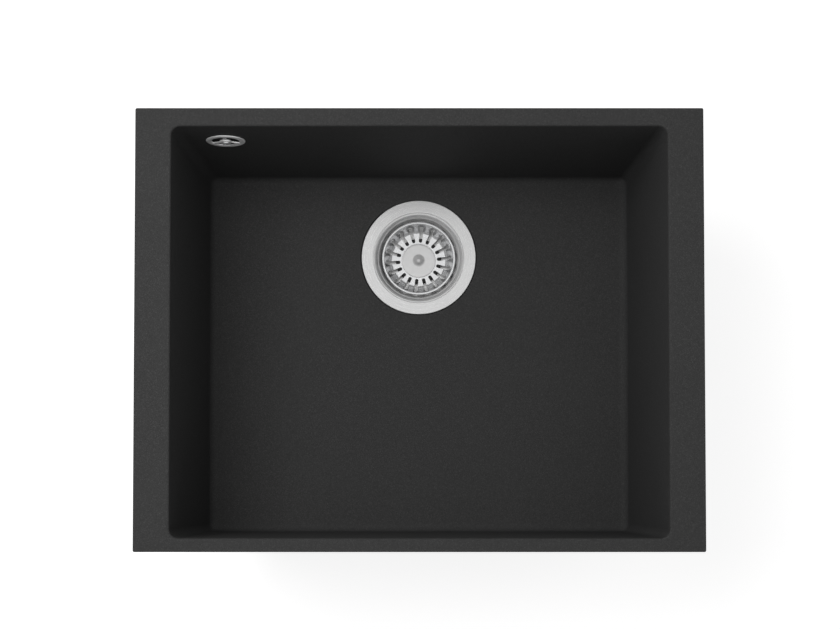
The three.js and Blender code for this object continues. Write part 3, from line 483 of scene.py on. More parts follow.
def round_drain(like, reach, z):
    """A circle round the drain whose points lie in the directions of another ring's."""
    ring = []
    for point in like:
        away = Vector((point.x - DRAIN.x, point.y - DRAIN.y, 0)).normalized()
        ring.append(DRAIN + away * reach + Vector((0, 0, z)))
    return ring


def between(first, second, shares, height):
    """Rings between two, at heights that `height` gives for each share of the way."""
    return [
        [Vector((*a.lerp(b, share).xy, height(share))) for a, b in zip(first, second)]
        for share in shares
    ]


def bowl_rings():
    floor_edge = -BOWL_DEPTH + FLOOR_FALL
    rim = (RIM_LOW.x, RIM_HIGH.x, RIM_LOW.y, RIM_HIGH.y)

    def rim_ring(inset, z):
        left, right, front, back = rim
        return rectangle((left + inset, right - inset, front + inset, back - inset), RIM_CORNER, z)

    def fillet(size, low, out, corner):
        return [
            rectangle(walls(low + size * (1 - cos), out - size * (1 - sin)), corner, low + size * (1 - cos))
            for cos, sin in arc(8)
        ]

    outer_corner = BOWL_CORNER + WALL
    outer = fillet(OUTER_FILLET, UNDERSIDE, WALL, outer_corner)
    inner = fillet(FLOOR_FILLET, floor_edge, 0, BOWL_CORNER)
    hole_low, hole_high = RIM_LOW.z, -BOWL_DEPTH - RECESS_DEPTH
    seat = inner[0]
    rings = [
        round_drain(seat, DRAIN_HOLE, hole_low + 0.6 * MM),
        round_drain(seat, DRAIN_HOLE + 0.6 * MM, hole_low),
        round_drain(seat, BOSS - 1 * MM, hole_low),
        round_drain(seat, BOSS, hole_low + 1 * MM),
        round_drain(seat, BOSS, UNDERSIDE - 2 * MM),
        round_drain(seat, BOSS + 0.6 * MM, UNDERSIDE - 0.6 * MM),
        round_drain(seat, BOSS + 2 * MM, UNDERSIDE),
    ]
    rings += between(rings[-1], outer[0], (0.25, 0.5, 0.75, 0.97), lambda share: UNDERSIDE)
    rings += outer
    wall_top = -RIM_THICKNESS - RIM_FILLET
    rings += [rectangle(walls(wall_top * share, WALL), outer_corner, wall_top * share) for share in (6, 3)]
    for cos, sin in arc(6):
        reach = RIM_FILLET * (1 - cos)
        z = wall_top + RIM_FILLET * sin
        sides = walls(z, WALL + reach)
        sides = (
            max(sides[0], rim[0] + RIM_ARRIS * 2),
            min(sides[1], rim[1] - RIM_ARRIS * 2),
            max(sides[2], rim[2] + RIM_ARRIS * 2),
            min(sides[3], rim[3] - RIM_ARRIS * 2),
        )
        rings.append(rectangle(sides, outer_corner + reach, z))
    rings += [rim_ring(RIM_ARRIS * 0.6, -RIM_THICKNESS), rim_ring(0, -RIM_THICKNESS + RIM_ARRIS * 0.6)]
    rings += [rim_ring(RIM_ARRIS * (1 - cos), RIM_ARRIS * (sin - 1)) for cos, sin in arc(4)]
    mouth = walls(-LIP)

    def lip_ring(out, z):
        left, right, front, back = mouth
        return rectangle((left - out, right + out, front - out, back + out), BOWL_CORNER + out, z)

    rings.append(lip_ring(LIP + 2 * MM, 0))
    rings += [lip_ring(LIP * (1 - cos), LIP * (sin - 1)) for cos, sin in reversed(arc(8))]
    wall_foot = floor_edge + FLOOR_FILLET
    heights = [wall_foot * share for share in (0.08, 0.5, 0.92)]
    rings += [rectangle(walls(z), BOWL_CORNER, z) for z in heights]
    rings += list(reversed(inner))
    recess_edge = round_drain(seat, RECESS + 0.5 * MM, -BOWL_DEPTH)
    fall = lambda share: floor_edge - FLOOR_FALL * share
    rings += between(seat, recess_edge, (0.03, 0.2, 0.45, 0.7, 0.92), fall)
    rings += [
        recess_edge,
        round_drain(seat, RECESS, -BOWL_DEPTH - 0.4 * MM),
        round_drain(seat, RECESS, hole_high + 0.5 * MM),
        round_drain(seat, RECESS - 0.5 * MM, hole_high),
        round_drain(seat, DRAIN_HOLE + 0.6 * MM, hole_high),
        round_drain(seat, DRAIN_HOLE, hole_high - 0.6 * MM),
    ]
    return rings


def make_bowl():
    made = lofted("bowl_casting", bowl_rings(), closed=True)
    cuts = [turned("overflow_cut", ring_outline(0, OVERFLOW_HOLE, -WALL, 2 * WALL), 64, IN_OVERFLOW)]
    for node in INSERTS:
        low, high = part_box(node)
        centre = Matrix.Translation(Vector((middle(node).x, middle(node).y, 0)))
        outline = ring_outline(0, radius(node) + 0.2 * MM, low.z - 1 * MM, high.z + 0.2 * MM)
        cuts.append(turned("insert_cut", outline, 32, centre))
    combined(made, cuts)
    return piece(made, GRANITE, "sink", "bowl", sharp=28)


def ring_outline(inner, outer, low, high, soft=0.0):
    """The outline of a plain ring, or of a disc where the inner radius is 0."""
    inner_soft = soft if inner else 0
    return [(inner, low, inner_soft), (outer, low, soft), (outer, high, soft), (inner, high, inner_soft)]


def make_inserts():
    """Turned brass inserts with a countersunk, threaded bore."""
    for node in INSERTS:
        low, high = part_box(node)
        bore = 2.2 * MM
        sink_depth = 0.6 * MM
        pitch = 0.7 * MM
        outline = [(bore + 0.5 * MM, low.z, 0), (radius(node), low.z, 0.25 * MM)]
        outline += [(radius(node), high.z, 0.3 * MM), (bore + 0.3 * MM, high.z, 0)]
        turns = int((high.z - low.z - 2 * sink_depth) / pitch)
        for turn in range(turns, 0, -1):
            z = low.z + sink_depth + pitch * turn
            outline += [(bore + 0.35 * MM, z, 0), (bore, z - pitch / 2, 0)]
        centre = Matrix.Translation(Vector((middle(node).x, middle(node).y, 0)))
        piece(turned(node.replace("rim_insert", "brass_insert"), outline, 40, centre), BRASS, "sink", node)


# ----------------------------------------------------------------------------------------------------
# Strainer: cup, basket, plate, knob, stem, hub and stopper
# ----------------------------------------------------------------------------------------------------

SHEET = 1.2 * MM
FLANGE_Z = top("strainer_cup")
CUP_MOUTH = 43.5 * MM
CUP_RADIUS = 38.4 * MM
CUP_MOUTH_DEPTH = 9.5 * MM
CUP_FOOT = 4 * MM
DRAIN_OPENING = 20 * MM
SLOT_COUNT = 18
SLOT_WIDTH = 3.4 * MM
SLOT_INNER = radius("centre_plate") + 1.3 * MM
SLOT_DROP = 7.5 * MM
SLOT_PHASE = math.radians(84.5)
SPOKE_PHASE = SLOT_PHASE + math.pi / SLOT_COUNT
BASKET_SHEET = 0.9 * MM
BASKET_FLOOR = 25 * MM
BASKET_FILLET = 5 * MM
FLUTE = 0.6 * MM
FLUTE_FOOT, FLUTE_HEAD = 1 * MM, 4 * MM  # the plain stretches below and above the flutes
BEAD = 2.4 * MM
STEM = 2.4 * MM


def sheet_outline(line, thickness):
    """The closed outline of a sheet, from the points of its upper face, the outermost first."""
    under = []
    for i, spot in enumerate(line):
        along = (line[min(i + 1, len(line) - 1)] - line[max(i - 1, 0)]).normalized()
        under.append(Vector((spot.x - along.y * thickness, spot.y + along.x * thickness)))
    return [(p.x, p.y, 0) for p in under] + [(p.x, p.y, 0) for p in reversed(line)]


def window(name, inner, outer, half_angle, centre_angle, low, high, steps=10):
    """A cutter shaped like a piece of a ring."""
    ends = [centre_angle - half_angle + 2 * half_angle * i / steps for i in range(steps + 1)]
    flat = [(inner * math.cos(a), inner * math.sin(a)) for a in reversed(ends)]
    flat += [(outer * math.cos(a), outer * math.sin(a)) for a in ends]
    rings = [[AT_DRAIN @ Vector((x, y, z)) for x, y in flat] for z in (low, high)]
    return lofted(name, rings)


def make_cup():
    """A pressed cup: flange, groove and lip, a sloping mouth with a ledge, and a bottom with windows."""
    seat = bottom("strainer_cup") + SHEET
    ledge_z = FLANGE_Z - CUP_MOUTH_DEPTH
    outline = [
        (radius("strainer_cup"), FLANGE_Z - SHEET, 0.3 * MM),
        (radius("strainer_cup"), FLANGE_Z, 0.7 * MM),
        (CUP_MOUTH + 2.4 * MM, FLANGE_Z - 0.05 * MM, 0.4 * MM),
        (CUP_MOUTH + 1.7 * MM, FLANGE_Z - 0.4 * MM, 0.3 * MM),
        (CUP_MOUTH + 0.9 * MM, FLANGE_Z, 0.5 * MM),
        (CUP_MOUTH - 0.6 * MM, FLANGE_Z - 0.9 * MM, 0.5 * MM),
        (CUP_MOUTH - 2.2 * MM, FLANGE_Z - 4.2 * MM, 2 * MM),
        (CUP_MOUTH - 3.6 * MM, FLANGE_Z - 5.8 * MM, 1 * MM),
        (CUP_RADIUS + 0.6 * MM, ledge_z + 0.6 * MM, 1.2 * MM),
        (CUP_RADIUS, ledge_z - 1 * MM, 0.9 * MM),
        (CUP_RADIUS, seat, CUP_FOOT),
        (3.2 * MM, seat, 0),
        (3.2 * MM, seat - SHEET, 0),
        (CUP_RADIUS + SHEET, seat - SHEET, CUP_FOOT + SHEET),
        (CUP_RADIUS + SHEET, ledge_z - 1.4 * MM, 1 * MM),
        (CUP_RADIUS + 1.9 * MM, ledge_z + 0.2 * MM, 1.2 * MM),
        (CUP_MOUTH - 2.2 * MM, FLANGE_Z - 6.4 * MM, 1 * MM),
        (CUP_MOUTH - 0.9 * MM, FLANGE_Z - 4.6 * MM, 2 * MM),
        (CUP_MOUTH + 0.4 * MM, FLANGE_Z - SHEET - 1 * MM, 1 * MM),
        (CUP_MOUTH + 1.6 * MM, FLANGE_Z - SHEET, 0.8 * MM),
    ]
    made = turned("cup_pressing", list(reversed(outline)), 128, steps=5)
    hub, arm = 7.5 * MM, 5 * MM
    windows = []
    for i in range(3):
        centre = SPOKE_PHASE + TURN * (i + 0.5) / 3
        half = math.pi / 3 - arm / (hub + DRAIN_OPENING)
        windows.append(
            window("cup_window", hub, DRAIN_OPENING, half, centre, seat - SHEET - 1 * MM, seat + 1 * MM)
        )
    combined(made, windows)
    return piece(made, BRUSHED, "sink", "strainer_cup", sharp=40)


def basket_line(steps):
    """The upper face of the basket's sheet: down its straight wall and round the fillet to its floor."""
    wall_top = Vector((radius_of_basket() - BEAD + BASKET_SHEET, top("basket") - 1 * MM))
    centre = Vector((BASKET_FLOOR, bottom("basket") + BASKET_SHEET + BASKET_FILLET))
    away = wall_top - centre
    wall_foot = math.atan2(away.y, away.x) - math.acos(BASKET_FILLET / away.length)
    angles = [wall_foot + (-QUARTER - wall_foot) * i / steps for i in range(steps + 1)]
    fillet = [centre + Vector((math.cos(a), math.sin(a))) * BASKET_FILLET for a in angles]
    return [wall_top.lerp(fillet[0], i / steps) for i in range(steps)] + fillet


def radius_of_basket():
    low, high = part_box("basket")
    return (high.y - low.y) / 2


def slot_cutter(angle):
    """A cutter that follows the basket's sheet from inside its floor up its wall, round at both ends."""
    line = [Vector((SLOT_INNER, bottom("basket") + BASKET_SHEET))]
    curve = [p for p in reversed(basket_line(16)) if p.y < top("basket") - SLOT_DROP]
    line += curve
    lengths = [0.0]
    for a, b in zip(line, line[1:]):
        lengths.append(lengths[-1] + (b - a).length)
    whole = lengths[-1]
    half = SLOT_WIDTH / 2
    stations = [whole * i / 40 for i in range(41)]
    ends = [half * (1 - cos) for cos, _ in arc(6)]
    straight = {round(s, 7) for s in stations if half < s < whole - half}
    stations = sorted(straight | set(ends) | {whole - e for e in ends})
    turn = AT_DRAIN @ Matrix.Rotation(angle, 4, "Z")
    rings = []
    for s in stations:
        k = max(i for i, length in enumerate(lengths) if length <= s + 1e-9)
        k = min(k, len(line) - 2)
        share = (s - lengths[k]) / (lengths[k + 1] - lengths[k])
        spot = line[k].lerp(line[k + 1], share)
        along = (line[min(k + 2, len(line) - 1)] - line[max(k - 1, 0)]).normalized()
        out = Vector((along.y, -along.x))
        near = min(s, whole - s)
        wide = half if near >= half else math.sqrt(max(half**2 - (half - near) ** 2, 0))
        wide = max(wide, 0.02 * MM)
        reach = 2.2 * MM
        rings.append([
            turn @ Vector((spot.x + out.x * d, side, spot.y + out.y * d))
            for d, side in ((-reach, -wide), (reach, -wide), (reach, wide), (-reach, wide))
        ])
    return lofted("slot_cut", rings)


def flute(shell):
    """Moves the wall out round each slot, in a flute that dies out towards the rim and the floor."""
    low, high = bottom("basket") + FLUTE_FOOT, top("basket") - FLUTE_HEAD
    for vertex in shell.data.vertices:
        up = (vertex.co.z - low) / (high - low)
        if not 0 < up < 1:
            continue
        away = Vector((vertex.co.x - DRAIN.x, vertex.co.y - DRAIN.y, 0))
        angle = math.atan2(away.y, away.x)
        share = 0.5 + 0.5 * math.cos(SLOT_COUNT * (angle - SLOT_PHASE))
        vertex.co += away.normalized() * FLUTE * share**1.5 * math.sin(math.pi * up) ** 0.6


def make_basket():
    """The pressed basket with its rolled rim. Its slots are cut before its wall is fluted."""
    line = basket_line(10)
    line.append(Vector((STEM + 0.3 * MM, line[-1].y)))

    sides = SLOT_COUNT * 10
    shell = turned("basket_pressing", sheet_outline(line, BASKET_SHEET), sides)
    rim = radius_of_basket()
    high = top("basket")
    bead = [
        (rim - BEAD, high - 2 * MM, 0.5 * MM),
        (rim, high - 2 * MM, 0.5 * MM),
        (rim, high, 0.95 * MM),
        (rim - BEAD, high, 0.95 * MM),
    ]
    combined(shell, [turned("bead_join", bead, sides)], "UNION")
    cutters = [slot_cutter(SLOT_PHASE + TURN * i / SLOT_COUNT) for i in range(SLOT_COUNT)]
    combined(shell, cutters)
    flute(shell)
    return piece(shell, POLISHED, "basket", "basket", sharp=36)


def make_plate():
    """The smooth round plate on the basket's floor, slightly crowned, with a rolled edge."""
    low, high = bottom("centre_plate"), top("centre_plate")
    reach = radius("centre_plate")
    outline = [
        (STEM + 0.3 * MM, low, 0),
        (reach - 0.6 * MM, low, 0.2 * MM),
        (reach, low + 0.5 * MM, 0.3 * MM),
        (reach - 0.35 * MM, high - 0.25 * MM, 0.4 * MM),
        (reach - 1.6 * MM, high, 1.2 * MM),
        (STEM + 0.3 * MM, high, 0),
    ]
    made = turned("plate_disc", outline, 128, steps=5)
    return piece(made, SATIN, "basket", "centre_plate", sharp=50)


def make_knob():
    """A bell-shaped knob whose foot flares out on to the plate."""
    low, high = bottom("knob"), top("knob")
    reach = radius("knob")
    hole, foot, socket, steps = STEM + 0.2 * MM, 0.35 * MM, 2.6 * MM, 16
    outline = [(hole, low, 0), (reach, low, 0)]
    for step in range(steps + 1):
        share = 1 - step / steps
        height = 0.5 + 0.5 * math.cos(math.pi * share**1.3)
        outline.append((reach * share, low + foot + (high - low - foot) * height, 0))
    outline += [(0, low + socket, 0), (hole, low + socket, 0)]
    return piece(turned("knob_dome", outline, 64), DULL, "stopper", "knob", sharp=50)


def make_stem():
    low, high = bottom("stem"), top("stem")
    head = radius("stem")
    outline = [
        (0, low, 0),
        (head, low, 0.3 * MM),
        (head, low + 0.8 * MM, 0.2 * MM),
        (STEM, low + 0.8 * MM, 0.2 * MM),
        (STEM, high, 0.4 * MM),
        (0, high, 0),
    ]
    return piece(turned("stem_rod", outline, 48), POLISHED, "stopper", "stem")


def make_stopper():
    """The rubber stopper, with a soft sealing lip and two shallow grooves in its edge."""
    low, high = bottom("stopper_seal"), top("stopper_seal")
    reach = radius("stopper_seal")
    hub, collar, collar_top = 6.9 * MM, 8.9 * MM, low + 1.4 * MM
    outline = [
        (collar, low, 0.1 * MM),
        (reach - 3.4 * MM, low, 0.3 * MM),
        (reach - 2.8 * MM, low + 0.35 * MM, 0.3 * MM),
        (reach - 2.2 * MM, low, 0.3 * MM),
        (reach - 0.4 * MM, low, 0.5 * MM),
        (reach, low + 1.4 * MM, 0.6 * MM),
        (reach - 0.7 * MM, low + 2.2 * MM, 0.3 * MM),
        (reach, low + 3.0 * MM, 0.4 * MM),
        (reach - 0.7 * MM, low + 3.8 * MM, 0.3 * MM),
        (reach, low + 4.6 * MM, 0.4 * MM),
        (reach - 1.2 * MM, high, 0.8 * MM),
        (hub, high, 0.1 * MM),
        (hub, collar_top, 0),
        (collar, collar_top, 0),
    ]
    return piece(turned("stopper_rubber", outline, 96), RUBBER, "stopper", "stopper_seal")


def make_hub():
    low, high = bottom("basket_hub"), top("basket_hub")
    socket, hole, web = 4.4 * MM, STEM + 0.2 * MM, 1.4 * MM
    outline = [
        (socket, low, 0.3 * MM),
        (radius("basket_hub"), low, 0.3 * MM),
        (radius("basket_hub"), low + 1.2 * MM, 0.3 * MM),
        (6.6 * MM, low + 1.2 * MM, 0.2 * MM),
        (6.6 * MM, high, 0.3 * MM),
        (hole, high, 0.1 * MM),
        (hole, high - web, 0),
        (socket, high - web, 0),
    ]
    return piece(turned("hub_moulding", outline, 64), PLASTIC, "stopper", "basket_hub")


# ----------------------------------------------------------------------------------------------------
# Waste: seals, body, bolt, nut, washer and tailpiece
# ----------------------------------------------------------------------------------------------------

BODY_BORE = 46 * MM
BODY_WALL = 3 * MM
OUTLET_RADIUS = 23.9 * MM
OUTLET_BORE = 19.5 * MM
OUTLET_LENGTH = 22 * MM
FUNNEL = 9 * MM
SOCKET_GAP = 0.3 * MM
SHOULDER_DEPTH = 3 * MM  # from the spout's upper end down to the bridge's shoulder
SHOULDER_BORE = 21.1 * MM
RIB_HEIGHT = 5.8 * MM
BOLT = 2.9 * MM
THREAD_PITCH = 2.3 * MM
SPIGOT = 8 * MM
SPIGOT_BORE = 6.3 * MM


def make_seals():
    rings = (
        ("cup_gasket", "cup_seal", 48 * MM, 0.4 * MM),
        ("body_gasket", "body_seal", 46 * MM, 1.1 * MM),
        ("outlet_gasket", "outlet_washer", OUTLET_BORE, 0.6 * MM),
    )
    for name, node, bore, soft in rings:
        outline = ring_outline(bore, radius(node), bottom(node), top(node), soft)
        piece(turned(name, outline, 96), RUBBER, "sink", node)


def thread(reach, depth, start, end):
    """Outline points of thread crests and roots from one height down to another."""
    points = []
    turns = int(abs(end - start) / THREAD_PITCH)
    for turn in range(turns):
        z = start + (end - start) * turn / turns
        step = (end - start) / turns
        points += [(reach, z + step * 0.15, 0), (reach, z + step * 0.4, 0)]
        points += [(reach - depth, z + step * 0.65, 0), (reach - depth, z + step * 0.9, 0)]
    return points


def make_waste_body():
    """The upper housing: its flange on gussets, and the inlet for the overflow's hose."""
    low, high = bottom("waste_body"), top("waste_body")
    outer, flange, flange_z = BODY_BORE + BODY_WALL, 58 * MM, high - 5 * MM
    outline = [
        (BODY_BORE, low, 0.4 * MM),
        (outer, low, 0.4 * MM),
        (outer, flange_z, 1.2 * MM),
        (flange, flange_z, 0.8 * MM),
        (flange, high, 0.8 * MM),
        (BODY_BORE, high, 0.5 * MM),
    ]
    made = turned("body_moulding", outline, 96)
    parts = []
    gussets = 16
    for i in range(gussets):
        place = AT_DRAIN @ Matrix.Rotation(TURN * (i + 0.5) / gussets, 4, "Z")
        flat = (
            (outer - 1 * MM, flange_z + 1 * MM),
            (flange - 1.2 * MM, flange_z + 1 * MM),
            (outer - 1 * MM, flange_z - 8 * MM),
        )
        rings = [[place @ Vector((x, side, z)) for x, z in flat] for side in (-0.9 * MM, 0.9 * MM)]
        parts.append(lofted("gusset", rings))
    spigot = [
        (0, BODY_BORE + 1.5 * MM, 0),
        (SPIGOT + 2 * MM, BODY_BORE + 1.5 * MM, 0),
        (SPIGOT + 2 * MM, outer + 2 * MM, 1.5 * MM),
        (SPIGOT, outer + 5 * MM, 1.5 * MM),
        (SPIGOT, HOSE.reach, 0.8 * MM),
        (0, HOSE.reach, 0),
    ]
    parts.append(turned("spigot", spigot, 48, HOSE.inlet))
    combined(made, parts, "UNION")
    way = ring_outline(0, SPIGOT_BORE, BODY_BORE - 3 * MM, HOSE.reach + 1 * MM)
    combined(made, [turned("inlet_way", way, 48, HOSE.inlet)])
    return piece(made, PLASTIC, "sink", "waste_body", sharp=30)


def make_waste_outlet():
    """The funnel and threaded spout, whose socket is glued round the body's lower end."""
    low, high = bottom("waste_outlet"), top("waste_outlet")
    reach = radius("waste_outlet")
    spout_z = low + OUTLET_LENGTH
    funnel_z = spout_z + FUNNEL
    socket = BODY_BORE + BODY_WALL + SOCKET_GAP
    outline = [
        (SHOULDER_BORE, low, 0.5 * MM),
        (OUTLET_RADIUS - 0.8 * MM, low, 0.3 * MM),
        *thread(OUTLET_RADIUS, 0.9 * MM, low + 1.2 * MM, spout_z - 4.5 * MM),
        (OUTLET_RADIUS, spout_z - 4 * MM, 0.3 * MM),
        (OUTLET_RADIUS, spout_z - BODY_WALL, 2 * MM),
        (reach, funnel_z - BODY_WALL / 2, 3 * MM),
        (reach, high, 0.8 * MM),
        (socket, high, 0.4 * MM),
        (socket, funnel_z, 0.2 * MM),
        (BODY_BORE, funnel_z, 1 * MM),
        (OUTLET_BORE, spout_z, 1.5 * MM),
        (OUTLET_BORE, spout_z - SHOULDER_DEPTH, 0.3 * MM),
        (SHOULDER_BORE, spout_z - SHOULDER_DEPTH, 0.2 * MM),
    ]
    return piece(turned("outlet_moulding", outline, 96), PLASTIC, "sink", "waste_outlet", sharp=30)


def make_bridge():
    """The bolt's boss on three ribs, which bear up against the shoulder in the spout."""
    low, high = bottom("bolt_bridge"), top("bolt_bridge")
    boss = [(0, low, 0), (8.5 * MM, low, 0.5 * MM), (8.5 * MM, high, 0.4 * MM), (0, high, 0)]
    made = turned("bridge_moulding", boss, 48)
    ribs = []
    for i in range(3):
        place = AT_DRAIN @ Matrix.Rotation(SPOKE_PHASE + TURN * i / 3, 4, "Z")
        far_corner = (SHOULDER_BORE - 2 * SOCKET_GAP, 2 * MM, low + RIB_HEIGHT)
        ribs.append(bevelled(bar("rib", (0, -2 * MM, low), far_corner, place), 0.4 * MM))
    combined(made, ribs, "UNION")
    pocket_top = top("bolt_insert") + 0.3 * MM
    bolt_way = ring_outline(0, BOLT + 0.3 * MM, low - 1 * MM, high + 1 * MM)
    pocket = ring_outline(0, radius("bolt_insert") + 0.3 * MM, low - 1 * MM, pocket_top)
    combined(made, [turned("bolt_way", bolt_way, 32), turned("pocket", pocket, 32)])
    return piece(made, PLASTIC, "sink", "bolt_bridge", sharp=30)


def make_bolt():
    low, high = bottom("centre_bolt"), top("centre_bolt")
    head = radius("centre_bolt")
    under = high - 2.8 * MM
    outline = [
        (0, low, 0),
        (BOLT - 0.5 * MM, low, 0),
        (BOLT, low + 0.6 * MM, 0),
        (BOLT, under, 0.1 * MM),
        (head, under, 0.2 * MM),
        (head, high, 0.6 * MM),
        (0, high, 0),
    ]
    made = turned("bolt_with_head", outline, 48)
    half = 0.6 * MM
    slot = bar("slot", (-head * 2, -half, high - 1.4 * MM), (head * 2, half, high + 1 * MM), AT_DRAIN)
    combined(made, [slot])
    piece(made, POLISHED, "sink", "centre_bolt")
    node = "bolt_insert"
    insert = ring_outline(BOLT + 0.2 * MM, radius(node), bottom(node), top(node), 0.25 * MM)
    piece(turned("bolt_bush", insert, 40), BRASS, "sink", node)


def make_nut():
    """A hand-tightened nut with round grips and a chamfered end."""
    low, high = bottom("outlet_nut"), top("outlet_nut")
    wall = 28 * MM
    grips = 12
    grip_height = 2.0 * MM
    grip_fade = 1.5 * MM

    def grip(reach, z, angle):
        if reach < wall - 1.6 * MM:
            return 0
        share = (0.5 + 0.5 * math.cos(grips * angle)) ** 3
        from_foot = max(0, (z - low - 1.2 * MM) / grip_fade)
        from_top = max(0, (high - 0.4 * MM - z) / grip_fade)
        return grip_height * share * min(1, from_foot, from_top)

    bore, pipe = OUTLET_RADIUS + 0.3 * MM, 20.3 * MM
    outline = [
        (pipe, low, 0.4 * MM),
        (wall - 1.6 * MM, low, 0.4 * MM),
        (wall, low + 1.4 * MM, 0.6 * MM),
        *[(wall, low + 3 * MM + (high - low - 6 * MM) * i / 5, 0) for i in range(6)],
        (wall, high - 1.4 * MM, 0),
        (wall - 0.2 * MM, high, 0.5 * MM),
        (bore, high, 0.3 * MM),
        (bore, low + 3 * MM, 0.3 * MM),
        (pipe, low + 3 * MM, 0.3 * MM),
    ]
    return piece(turned("nut_moulding", outline, 240, bulge=grip), PLASTIC, "sink", "outlet_nut", sharp=40)


def make_tailpiece():
    low, high = bottom("tailpiece"), top("tailpiece")
    collar, pipe, bore = radius("tailpiece"), 20 * MM, 17.8 * MM
    outline = [
        (bore + 0.6 * MM, low, 0.2 * MM),
        (pipe - 0.9 * MM, low, 0.3 * MM),
        (pipe, low + 1.6 * MM, 0.4 * MM),
        (pipe, high - 2.3 * MM, 0.5 * MM),
        (collar, high - 2.3 * MM, 0.3 * MM),
        (collar, high, 0.3 * MM),
        (bore, high, 0.3 * MM),
        (bore, low + 0.8 * MM, 0.3 * MM),
    ]
    return piece(turned("tail_pipe", outline, 96), PLASTIC, "sink", "tailpiece")


# ----------------------------------------------------------------------------------------------------
# Overflow: rosette, screw, seal, elbow, hose and clamps
# ----------------------------------------------------------------------------------------------------

BACK_SLOPE = math.atan(BACK_DRAFT / BOWL_DEPTH)
OVERFLOW_DEPTH = 47 * MM
OVERFLOW_HOLE = 14 * MM
OVERFLOW_X = middle("overflow_rosette").x
OVERFLOW_Y = RIM_HIGH.y - BACK_MARGIN - OVERFLOW_DEPTH * math.tan(BACK_SLOPE)
# +Y runs square out through the back wall and +Z up along it.
OVERFLOW = Matrix.Translation((OVERFLOW_X, OVERFLOW_Y, -OVERFLOW_DEPTH))
OVERFLOW = OVERFLOW @ Matrix.Rotation(-BACK_SLOPE, 4, "X")
# The same place with its vertical axis turned to point out through the wall.
IN_OVERFLOW = OVERFLOW @ Matrix.Rotation(-QUARTER, 4, "X")
WALL_OUTSIDE = WALL * math.cos(BACK_SLOPE)
SEAL_FROM = WALL_OUTSIDE + 0.3 * MM
ELBOW_FROM = SEAL_FROM + 2.3 * MM
ELBOW_DEPTH = 11 * MM
ROSETTE = radius("overflow_rosette")
ROSETTE_OPENING = 13 * MM
ROSETTE_THICKNESS = 1.8 * MM
ROSETTE_CROWN = 1.2 * MM  # how far the ring's round face stands out
SPOKE_THICKNESS, SPOKE_WAIST, SPOKE_FLARE = 1.1 * MM, 1.6 * MM, 1.4 * MM
SCREW_HEAD = 3.9 * MM
HOSE_FROM_WALL = 13.2 * MM
SPIGOT_TOP = -24 * MM
SPIGOT_LENGTH = 17 * MM


class HoseRoute:
    """The hose's middle line: down along the wall, round one bend, and in to the waste body."""

    def __init__(self):
        self.bend = 45 * MM
        self.cuff = 17 * MM
        self.reach = 78 * MM
        inlet_z = top("waste_body") - 15 * MM
        self.start = OVERFLOW @ Vector((0, WALL_OUTSIDE + HOSE_FROM_WALL, SPIGOT_TOP - 0.3 * MM))
        self.down = OVERFLOW.to_3x3() @ Vector((0, 0, -1))
        self.corner = self.start + self.down * ((inlet_z - self.start.z) / self.down.z)
        away = Vector((self.corner.x - DRAIN.x, self.corner.y - DRAIN.y, 0)).normalized()
        self.inward = -away
        self.end = DRAIN + away * (self.reach - self.cuff) + Vector((0, 0, inlet_z))
        # Its vertical axis runs from the drain's axis out along the inlet.
        outward = away.to_track_quat("Z", "Y").to_matrix().to_4x4()
        self.inlet = Matrix.Translation(DRAIN + Vector((0, 0, inlet_z))) @ outward
        self.angle = self.down.angle(self.inward)
        tangent = self.bend * math.tan(self.angle / 2)
        self.first = (self.corner - self.start).length - tangent
        self.arc = self.bend * self.angle
        self.last = (self.end - self.corner).length - tangent
        self.length = self.first + self.arc + self.last
        self.across = self.down.cross(self.inward).normalized()

    def at(self, distance):
        """The point and direction at a distance along the line."""
        if distance <= self.first:
            return self.start + self.down * distance, self.down
        if distance >= self.first + self.arc:
            return self.end - self.inward * (self.length - distance), self.inward
        turn = (distance - self.first) / self.bend
        toward = self.across.cross(self.down)
        start = self.start + self.down * self.first
        point = start + self.down * (self.bend * math.sin(turn)) + toward * (self.bend * (1 - math.cos(turn)))
        return point, Matrix.Rotation(turn, 3, self.across) @ self.down

    def rings(self, stations, sides):
        made = []
        for distance, reach in stations:
            point, along = self.at(distance)
            side = self.across.cross(along)
            made.append([
                point + (self.across * math.cos(TURN * i / sides) + side * math.sin(TURN * i / sides)) * reach
                for i in range(sides)
            ])
        return made


HOSE = HoseRoute()


